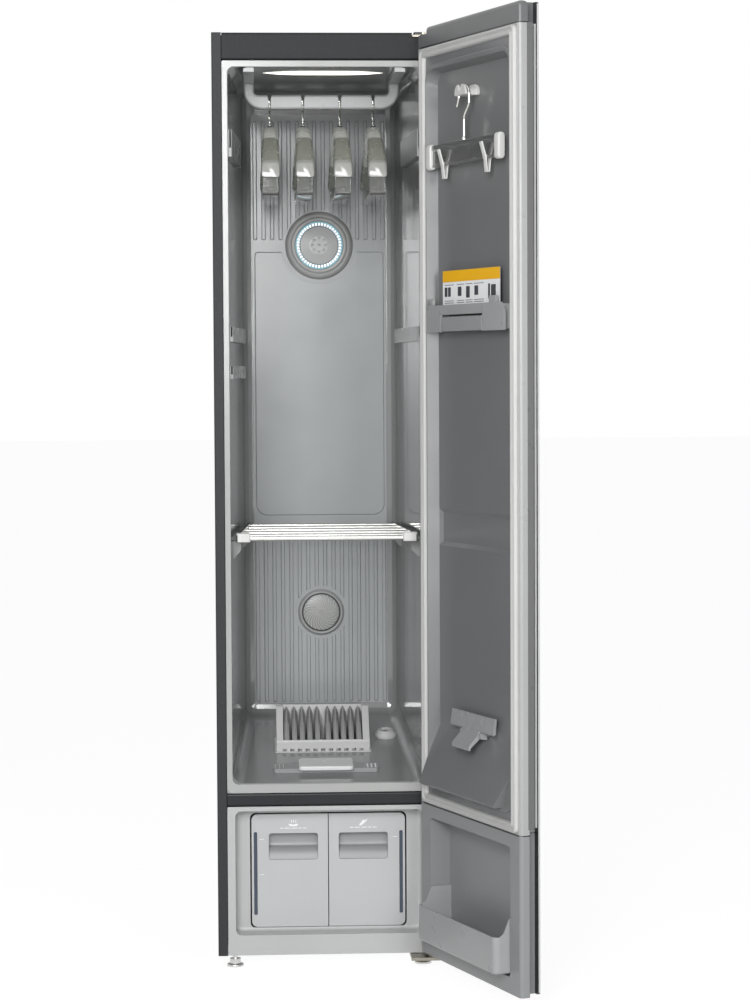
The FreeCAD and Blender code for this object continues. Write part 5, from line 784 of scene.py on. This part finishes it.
def make_shelf():
    """Plated arms and rods, a front bar, and pale caps over its ends."""
    low = lowest("shelf_frame", Z)
    middle = low + 7
    near = 10
    far = 462
    arm = 5
    arms = Form(as_drawn)
    for side in (-1, 1):
        arms.prism(rounded(((side * shelf_edge(near), FRONT + near, 3),
                            (side * shelf_edge(far), FRONT + far, 3),
                            (side * (shelf_edge(far) - arm), FRONT + far, 3),
                            (side * (shelf_edge(near) - arm), FRONT + near, 3)), 3), low, low + 14)
    arms.piece("shelf_arms", "shelf_steel", "shelf", "shelf_frame", bevel=1.6, segments=3)

    cap_front = FRONT + 9.9
    cap_back = FRONT + 30.2
    edge = shelf_edge(30)
    bar = Form(as_drawn)
    bar.tube(((20 - edge, FRONT + 20, middle), (edge - 20, FRONT + 20, middle)), 5, 24)
    bar.piece("shelf_front_bar", "shelf_steel", "shelf")
    caps = Form(as_drawn)
    for side in (-1, 1):
        outer = side * (edge + 0.2)
        inner = side * (edge - 28)
        caps.prism(rounded(((outer, cap_front, 4), (outer, cap_back, 3), (inner, cap_back, 4),
                            (inner, cap_front, 4)), 4), low - 0.1, low + 18)
    caps.piece("shelf_caps", "hook_grey", "shelf", bevel=2, segments=3)

    first_rod = 103
    rod_pitch = 88
    rods = Form(as_drawn)
    for number in range(5):
        depth = first_rod + rod_pitch * number
        reach = shelf_edge(depth) - arm
        rods.tube(((-reach, FRONT + depth, middle), (reach, FRONT + depth, middle)), 3.5, 20)
    rods.piece("shelf_round_rods", "shelf_steel", "shelf", "shelf_rods")


# ---- Lint filter and aroma kit ---------------------------------------
def make_pleats():
    """Folded mesh: sharp triangular pleats with a wider valley in the middle."""
    near = 207
    slope_end = 279
    far = 293
    low = 2.6
    near_top = 21
    rise = 51.5
    pitch = 16
    foot = 6.6
    shoulder = 5.2
    ridge = 0.8
    pleats = Form(cavity_floor)
    for side in (-1, 1):
        for number in range(5):
            middle = -5 + side * (11 + pitch * number)
            rings = []
            for along in (near, near + 20, near + 45, slope_end, far):
                share = min(1, (along - near) / (slope_end - near))
                top = near_top + rise * share
                fold = top - 9 * share
                rings.append([(middle - foot, along, low), (middle + foot, along, low),
                              (middle + shoulder, along, fold), (middle + ridge, along, top),
                              (middle - ridge, along, top), (middle - shoulder, along, fold)])
            pleats.skin(rings)
    pleats.piece("lint_filter_folds", "mesh_dark", "filter", "lint_filter_pleats", bevel=0.5)


def make_aroma_stripes():
    """White stripes in the grooves of the aroma tray."""
    pitch = 8
    width = 3.4
    stripes = Form(cavity_floor)
    for start in (-108.2, 79.8):
        for number in range(3):
            left = start + pitch * number
            stripes.prism(rectangle(left, 72.4, left + width, 97.6, 0.6), 8.3, 9.2)
    stripes.piece("aroma_tray_stripes", "print_white", "aroma_kit")


# ---- Fronts of the water tanks ---------------------------------------
def make_level_window(side, body, name):
    """The tall dark window at the tank's outer edge."""
    left, right = sorted((side * 143.5, side * 150.1))
    window = Form(upright)
    window.prism(rectangle(left, 97.3, right, 264.7, 2, 6), TANK_FRONT, TANK_FRONT + 2)
    window.piece(name + "_window", "window_blue", body, bevel=0.5)


def make_tank_marks(side, body, name, level_heights, icon):
    """Level lines beside the window, a row of bars for words, and a plain icon over them."""
    behind = TANK_FRONT - 0.15
    before = TANK_FRONT + 0.2
    marks = Form(upright)
    left, right = sorted((side * 139, side * 130))
    for height in level_heights:
        marks.prism(rectangle(left, height, right, height + 1.1, 0.4), behind, before)
    middle = side * 70.5
    for left, right in ((-27, -20), (-18, -6), (-4, 8), (10, 17), (19, 27)):
        marks.prism(rectangle(middle + left, 271.5, middle + right, 273.1, 0.6), behind, before)
    for outline in icon:
        marks.prism([(middle + x, z) for x, z in outline], behind, before)
    marks.piece(name + "_marks", "print_white", body)


def bowl_icon():
    """A bowl with three wisps of steam."""
    bowl = rounded(((-10, 281), (-8, 276, 3), (8, 276, 3), (10, 281), (7, 281), (0, 279.4, 3),
                    (-7, 281)), 4)
    wisps = [rectangle(place - 0.8, 283, place + 0.8, 289, 0.8, 4) for place in (-4, 0.5, 5)]
    return [bowl, *wisps]


def jug_icon():
    """A jug that leans to pour."""
    return [rounded(((-9, 277), (-5, 275, 2), (6, 284, 2), (9, 290), (3, 286, 2), (0, 288),
                     (-3, 284)), 3)]


def make_grip_back(side, body, name):
    """The curved back of the finger grip, in a darker copy of the tank front's grey: painted shade in the recess.
    """
    left, right = sorted((side * 21.1, side * 119.9))
    scoop = Form(lambda behind, height, across: (across, TANK_FRONT + behind, height))
    scoop.prism([(1.2, 261.9), (14, 261.4), (20, 258), (22.5, 250), (23, 240), (22, 234.5), (21, 233),
                 (19, 232.6), (12, 229), (7, 221), (4.4, 212), (3.6, 208.1), (24, 208.1),
                 (24, 261.9)], left, right)
    scoop.piece(name + "_grip_back", "grip_painted_shade", body, angle=50)


def make_tank_details():
    """What shows on both tanks' fronts; the supply tank is on the left and has two levels."""
    for side, body, level_heights, icon in ((-1, "supply", (250, 178), bowl_icon()),
                                            (1, "drain", (252,), jug_icon())):
        name = body + "_tank"
        make_level_window(side, body, name)
        make_tank_marks(side, body, name, level_heights, icon)
        make_grip_back(side, body, name)


# ---- Door ------------------------------------------------------------
def make_gasket():
    """The seal's soft double lobe, drawn round the door's inside."""
    low = lowest("door_gasket", Z)
    high = highest("door_gasket", Z)
    near = 2.6
    far = 410.0
    profile = ((0, 0), (0.4, 4.5), (1.6, 6.8), (3.6, 7.6), (5.6, 6.8), (7, 4.6), (8.6, 4), (10.2, 4.8),
               (12, 7.2), (14.4, 8), (16.8, 7.2), (18.4, 4.6), (19, 0))
    rings = []
    for inward, height in profile:
        outline = rectangle(near + inward, low + inward, far - inward, high - inward,
                            12 - inward * 0.4, 8)
        rings.append([(x, z, DOOR_INNER + height) for x, z in outline])
    seal = Form(on_door)
    seal.skin(rings, closed=True)
    seal.piece("door_seal", "gasket_grey", "door", "door_gasket", angle=80)


def make_door_seams():
    """Dark joints under the top cap and over the lower panel, and two ridges along the edge."""
    face_end = 411
    edge_end = 418.0
    half_width = 1.4
    lower_seam = highest("door_lower_panel", Z)
    upper_seam = lowest("door_top_cap", Z)
    seams = Form(on_door)
    for height in (lower_seam, upper_seam):
        low = height - half_width
        high = height + half_width
        seams.prism(rectangle(0, low, face_end, high, 0.4), DOOR_INNER - 4, DOOR_INNER + 0.25)
        seams.prism(rectangle(face_end, low, edge_end, high, 0.4), 0, DOOR_INNER - 6.5)
    seams.piece("door_joints", "trim_black", "door")

    low = lower_seam + 1.7
    high = upper_seam - 1.7
    ridges = Form(on_door)
    for start in (411.4, 413.2):
        end = start + 0.8
        ridges.prism(((start, low), (end, low), (end, high), (start, high)),
                     DOOR_INNER - 0.3, DOOR_INNER + 0.5)
    ridges.piece("door_frame_ridges", "gasket_grey", "door", bevel=0.2)


def make_door_edge():
    """The ground edge of the glass and a strip behind it, both painted highlight; the grip lip in a darker copy of
    the door's grey and a black lining in the grip channel, both painted shade.
    """
    low = 345.0
    high = 1822.0

    def strip(form, near, far, corner, behind, proud):
        form.prism(rectangle(near, low, far, high, corner), behind, proud)

    glass_low = lowest("door_glass", Z) + 3
    glass_high = highest("door_glass", Z) - 3
    # The glass's ground edge, its lighter grey a painted highlight.
    edge = Form(on_door)
    edge.prism(rectangle(403.6, glass_low, 404.3, glass_high, 0.3), -27.8, -24.6)
    edge.piece("door_glass_edge", "edge_painted_highlight", "door", bevel=0.2)
    # Painted highlight: a bright strip behind the glass edge.
    glass_highlight = Form(on_door)
    strip(glass_highlight, 392.4, 403.2, 0.6, -22.9, -18.6)
    glass_highlight.piece("door_glass_painted_highlight", "edge_painted_highlight", "door", bevel=0.5)
    # The grip lip, its darker grey a painted shade.
    lip = Form(on_door)
    strip(lip, 397, 418.2, 0.8, -9.5, -1.2)
    strip(lip, 417.6, 418.2, 0.2, -1.2, 3.5)
    lip.piece("door_grip_lip", "lip_painted_shade", "door", bevel=0.4)
    # Painted shade: a black lining where the grip channel lies in shadow.
    grip_shade = Form(on_door)
    strip(grip_shade, 392.1, 393.4, 0.4, -18.5, -1.3)
    grip_shade.piece("door_grip_painted_shade", "trim_black", "door", bevel=0.3)


def make_card():
    """A stiff guide card: a yellow band over a white field with plain boxes and lines."""
    face = 14.05
    left = 83.2
    right = 328.8
    low = 1300.0
    band = 1362
    high = highest("holder_bar", Z) - 0.2
    white = Form(on_door)
    white.prism(rectangle(left, low, right, band, 1), face, face + 0.3)
    white.piece("guide_card_white", "card_white", "door")
    yellow = Form(on_door)
    yellow.prism(rectangle(left, band, right, high, 2.5, 4), face, face + 0.35)
    yellow.piece("guide_card_yellow", "card_yellow", "door")
    boxes = Form(on_door)
    for start, end, bottom, top in ((92, 104, 1334, 1352), (107, 119, 1334, 1352),
                                    (150, 166, 1334, 1352), (186, 202, 1330, 1352),
                                    (222, 238, 1334, 1352), (280, 288, 1326, 1354),
                                    (292, 312, 1330, 1352)):
        boxes.prism(rectangle(start, bottom, end, top, 1.5, 4), face + 0.25, face + 0.45)
    boxes.piece("guide_card_boxes", "print_dark", "door")
    lines = Form(on_door)
    for start, end in ((92, 132), (146, 178), (184, 214), (220, 262)):
        for height in (1325, 1321, 1355.5):
            lines.prism(rectangle(start, height, end, height + 1.4, 0.5), face + 0.25, face + 0.4)
    lines.piece("guide_card_lines", "card_grey", "door")


# ---- Trouser hanger and hem clip on the door -------------------------
TROUSER_PLANE = 22.0
TROUSER_MIDDLE = 195.5
TROUSER_TOP = highest("trouser_hanger_bar", Z)
TROUSER_LOW = lowest("trouser_hanger_bar", Z)


def trouser_place(proud, height, across):
    """A section drawn across the trouser hanger's bar and carried along it."""
    return on_door(across, height, TROUSER_PLANE + proud)


def make_trouser_hook():
    """The wire hook and the ferrule at its foot."""
    centre = 1708.0
    radius = 21.9
    crown = radius - 4
    right = TROUSER_MIDDLE + radius
    left = TROUSER_MIDDLE - radius
    line = even(route((
        (0, TROUSER_TOP - 1, TROUSER_MIDDLE),
        (0, centre - radius * 1.6, TROUSER_MIDDLE, radius),
        (0, centre - radius * 0.7, right, radius / 2),
        (0, centre + radius, right, crown),
        (0, centre + radius, left, crown),
        (0, centre, left, radius / 2),
        (0, centre - radius * 0.7, TROUSER_MIDDLE - radius * 1.35))), 1.5)
    hook = Form(trouser_place)
    hook.tube(line, 2.4, 16)
    hook.piece("trouser_hanger_wire", "wire_steel", "trouser_hanger", "trouser_hanger_hook", angle=60)
    ferrule = Form(lambda across, proud, up: trouser_place(proud, TROUSER_TOP + up,
                                                           TROUSER_MIDDLE + across))
    ferrule.lathe(((AXIS, 0), (4.6, 0), (4.8, 1), (4.2, 4), (2.6, 6.4), (AXIS, 7)), steps=32)
    ferrule.piece("trouser_hanger_ferrule", "wire_steel", "trouser_hanger", angle=60)


def make_trouser_bar():
    """The clear bar with a rail along its top, and white caps that narrow at both ends."""
    top = TROUSER_TOP
    low = TROUSER_LOW
    bar = Form(trouser_place)
    bar.prism(rounded(((-3, top, 2.4), (-3, top - 9, 1), (-1, top - 11, 1), (-0.9, low + 6, 1),
                       (-2.6, low + 4, 1), (-2.6, low, 2), (2.6, low, 2), (2.6, low + 4, 1),
                       (0.9, low + 6, 1), (1, top - 11, 1), (3, top - 9, 1), (3, top, 2.4)), 4),
              47.6, 343.4)
    bar.piece("trouser_hanger_rail", "bar_smoke", "trouser_hanger", "trouser_hanger_bar", angle=40)

    cap_low = TROUSER_LOW - 4
    cap_high = TROUSER_TOP + 2
    cap_middle = (cap_low + cap_high) / 2
    cap_length = 20
    steps = 6
    full = (1, 1)
    drawn_in = (0.8775, 0.96325)
    outline = rectangle(-7, cap_low, 7, cap_high, 6.4, 8)
    caps = Form(trouser_place)
    for start in (37.5, 333.5):
        rings = []
        for step in range(steps + 1):
            wide, tall = drawn_in if step in (0, steps) else full
            rings.append([(x * wide, cap_middle + (z - cap_middle) * tall,
                           start + cap_length * step / steps) for x, z in outline])
        caps.skin(rings)
    caps.piece("trouser_hanger_caps", "clips_black", "trouser_hanger", "trouser_hanger_clips",
               bevel=1.2, segments=3, angle=50)


def make_trouser_pegs():
    """Two sprung clips, each of two blades that cross under the bar and a coil spring."""
    pegs = Form(trouser_place)
    springs = Form(trouser_place)
    half_width = 5.5
    half_coil = 5
    for place in (109.5, 293.5):
        for side in (-1, 1):
            blade = rounded(((side * 0.6, 1560.2), (side * 3.3, 1582.5, 2), (side * 3.05, 1586, 1),
                             (side * 12, 1617), (side * 14.4, 1615.8), (side * 5.6, 1584, 4),
                             (side * 3.2, 1560.2, 1)), 3)
            pegs.prism(blade, place - half_width, place + half_width)
        springs.tube(coil((0, 1589.5), 2.4, place - half_coil, place + half_coil, 5, 14.4), 0.6, 8)
    pegs.piece("trouser_hanger_pegs", "clips_black", "trouser_hanger", bevel=0.4)
    springs.piece("trouser_hanger_springs", "wire_steel", "trouser_hanger", angle=60)


def make_hem_spring():
    """The dark coil behind the hem clip's flap."""
    spring = Form(lambda proud, height, across: on_door(across, height, proud))
    spring.tube(coil((14, 498), 3.9, 178, 220, 8, 15), 0.7, 8)
    spring.piece("hem_clip_spring", "spring_dark", "door", angle=60)


make_cabinet_finishes()
make_cavity_finishes()
make_door_finishes()
dress_nodes()
make_outlet()
make_nozzle()
make_mouth()
make_lens()
make_port()
for hanger_number in HANGER_NUMBERS:
    hanger = f"hanger_{hanger_number}"
    hanger_place = middle_of(hanger + "_shoulder", X)
    make_hook(hanger, hanger_place)
    make_shoulder(hanger, hanger_place)
make_shelf()
make_pleats()
make_aroma_stripes()
make_tank_details()
make_gasket()
make_door_seams()
make_door_edge()
make_card()
make_trouser_hook()
make_trouser_bar()
make_trouser_pegs()
make_hem_spring()


# ---- Camera, floor and light -----------------------------------------
CAMERA_PLACE = (-150, -5356, 1191)
CAMERA_YAW = 2.76
CAMERA_DOWN = 2.87
CAMERA_ROLL = -0.29
FOCAL_PIXELS = 2567
IMAGE_HEIGHT = 1000
SENSOR = 36
FLOOR_REACH = 40
FLOOR_SHADE = (228, 228, 228)
FLOOR_GLOW = 1.16
FLOOR_GLOW_SHARE = 0.8
SOFT_LIGHT = 0.16


def make_camera():
    """A long lens at chest height in front of the cabinet, a little left of its middle."""
    data = bpy.data.cameras.new("camera")
    data.sensor_width = SENSOR
    data.lens = FOCAL_PIXELS * SENSOR / IMAGE_HEIGHT
    data.clip_end = 50
    camera = bpy.data.objects.new("camera", data)
    bpy.context.collection.objects.link(camera)
    turn = (Matrix.Rotation(math.radians(-CAMERA_YAW), 4, "Z")
            @ Matrix.Rotation(math.radians(90 - CAMERA_DOWN), 4, "X")
            @ Matrix.Rotation(math.radians(CAMERA_ROLL), 4, "Z"))
    camera.matrix_world = Matrix.Translation(Vector(CAMERA_PLACE) * MM) @ turn
    bpy.context.scene.camera = camera


def area_light(name, place, target, across, power):
    """A rectangular lamp that points at a target, in metres and watts."""
    data = bpy.data.lights.new(name, "AREA")
    data.shape = "RECTANGLE"
    data.size, data.size_y = across
    data.energy = power
    light = bpy.data.objects.new(name, data)
    bpy.context.collection.objects.link(light)
    light.location = place
    light.rotation_euler = (Vector(target) - Vector(place)).to_track_quat("-Z", "Y").to_euler()


def shown_rays(tree):
    """One for camera, glossy and transmission rays, which see the white background."""
    rays = tree.nodes.new("ShaderNodeLightPath")
    total = rays.outputs["Is Camera Ray"]
    for kind in ("Is Glossy Ray", "Is Transmission Ray"):
        joined = tree.nodes.new("ShaderNodeMath")
        joined.operation = "MAXIMUM"
        tree.links.new(total, joined.inputs[0])
        tree.links.new(rays.outputs[kind], joined.inputs[1])
        total = joined.outputs[0]
    return total


def make_floor():
    """A pale plane that shows nearly white and keeps the object's shadow."""
    reach = FLOOR_REACH
    data = bpy.data.meshes.new("floor")
    data.from_pydata([(-reach, -reach, 0), (reach, -reach, 0), (reach, reach, 0), (-reach, reach, 0)],
                     [], [(0, 1, 2, 3)])
    floor = bpy.data.objects.new("floor", data)
    bpy.context.collection.objects.link(floor)
    pale = Shader("floor_pale", colour(*FLOOR_SHADE), 0.8)
    pale.vary(pale.noise(0.5, detail=2), 0.01)
    bright = pale.node("ShaderNodeEmission")
    bright.inputs["Color"].default_value = (1, 1, 1, 1)
    bright.inputs["Strength"].default_value = FLOOR_GLOW
    share = pale.node("ShaderNodeMath", operation="MULTIPLY")
    pale.link(shown_rays(pale.tree), share.inputs[0])
    share.inputs[1].default_value = FLOOR_GLOW_SHARE
    mixed = pale.node("ShaderNodeMixShader")
    pale.link(share.outputs[0], mixed.inputs[0])
    pale.link(pale.shader.outputs[0], mixed.inputs[1])
    pale.link(bright.outputs[0], mixed.inputs[2])
    pale.link(mixed.outputs[0], pale.tree.nodes["Material Output"].inputs["Surface"])
    data.materials.append(pale.material)


def make_world():
    """A soft white world, full white wherever it is seen directly or in a reflection."""
    world = bpy.data.worlds.new("world")
    bpy.context.scene.world = world
    world.use_nodes = True
    tree = world.node_tree
    background = tree.nodes["Background"]
    background.inputs["Color"].default_value = (1, 1, 1, 1)
    strength = tree.nodes.new("ShaderNodeMapRange")
    strength.inputs["To Min"].default_value = SOFT_LIGHT
    strength.inputs["To Max"].default_value = 1.0
    tree.links.new(shown_rays(tree), strength.inputs["Value"])
    tree.links.new(strength.outputs["Result"], background.inputs["Strength"])


make_camera()
make_floor()
make_world()
area_light("key", place=(-0.9, -5.0, 2.2), target=(0, 0, 1.0), across=(1.6, 2.0), power=165)
area_light("fill", place=(1.6, -4.6, 1.2), target=(0.1, -0.2, 0.9), across=(1.2, 1.8), power=50)
area_light("top", place=(0, -1.0, 3.6), target=(0, 0, 1.2), across=(2.0, 2.0), power=8)

bpy.context.scene.view_settings.view_transform = "Standard"
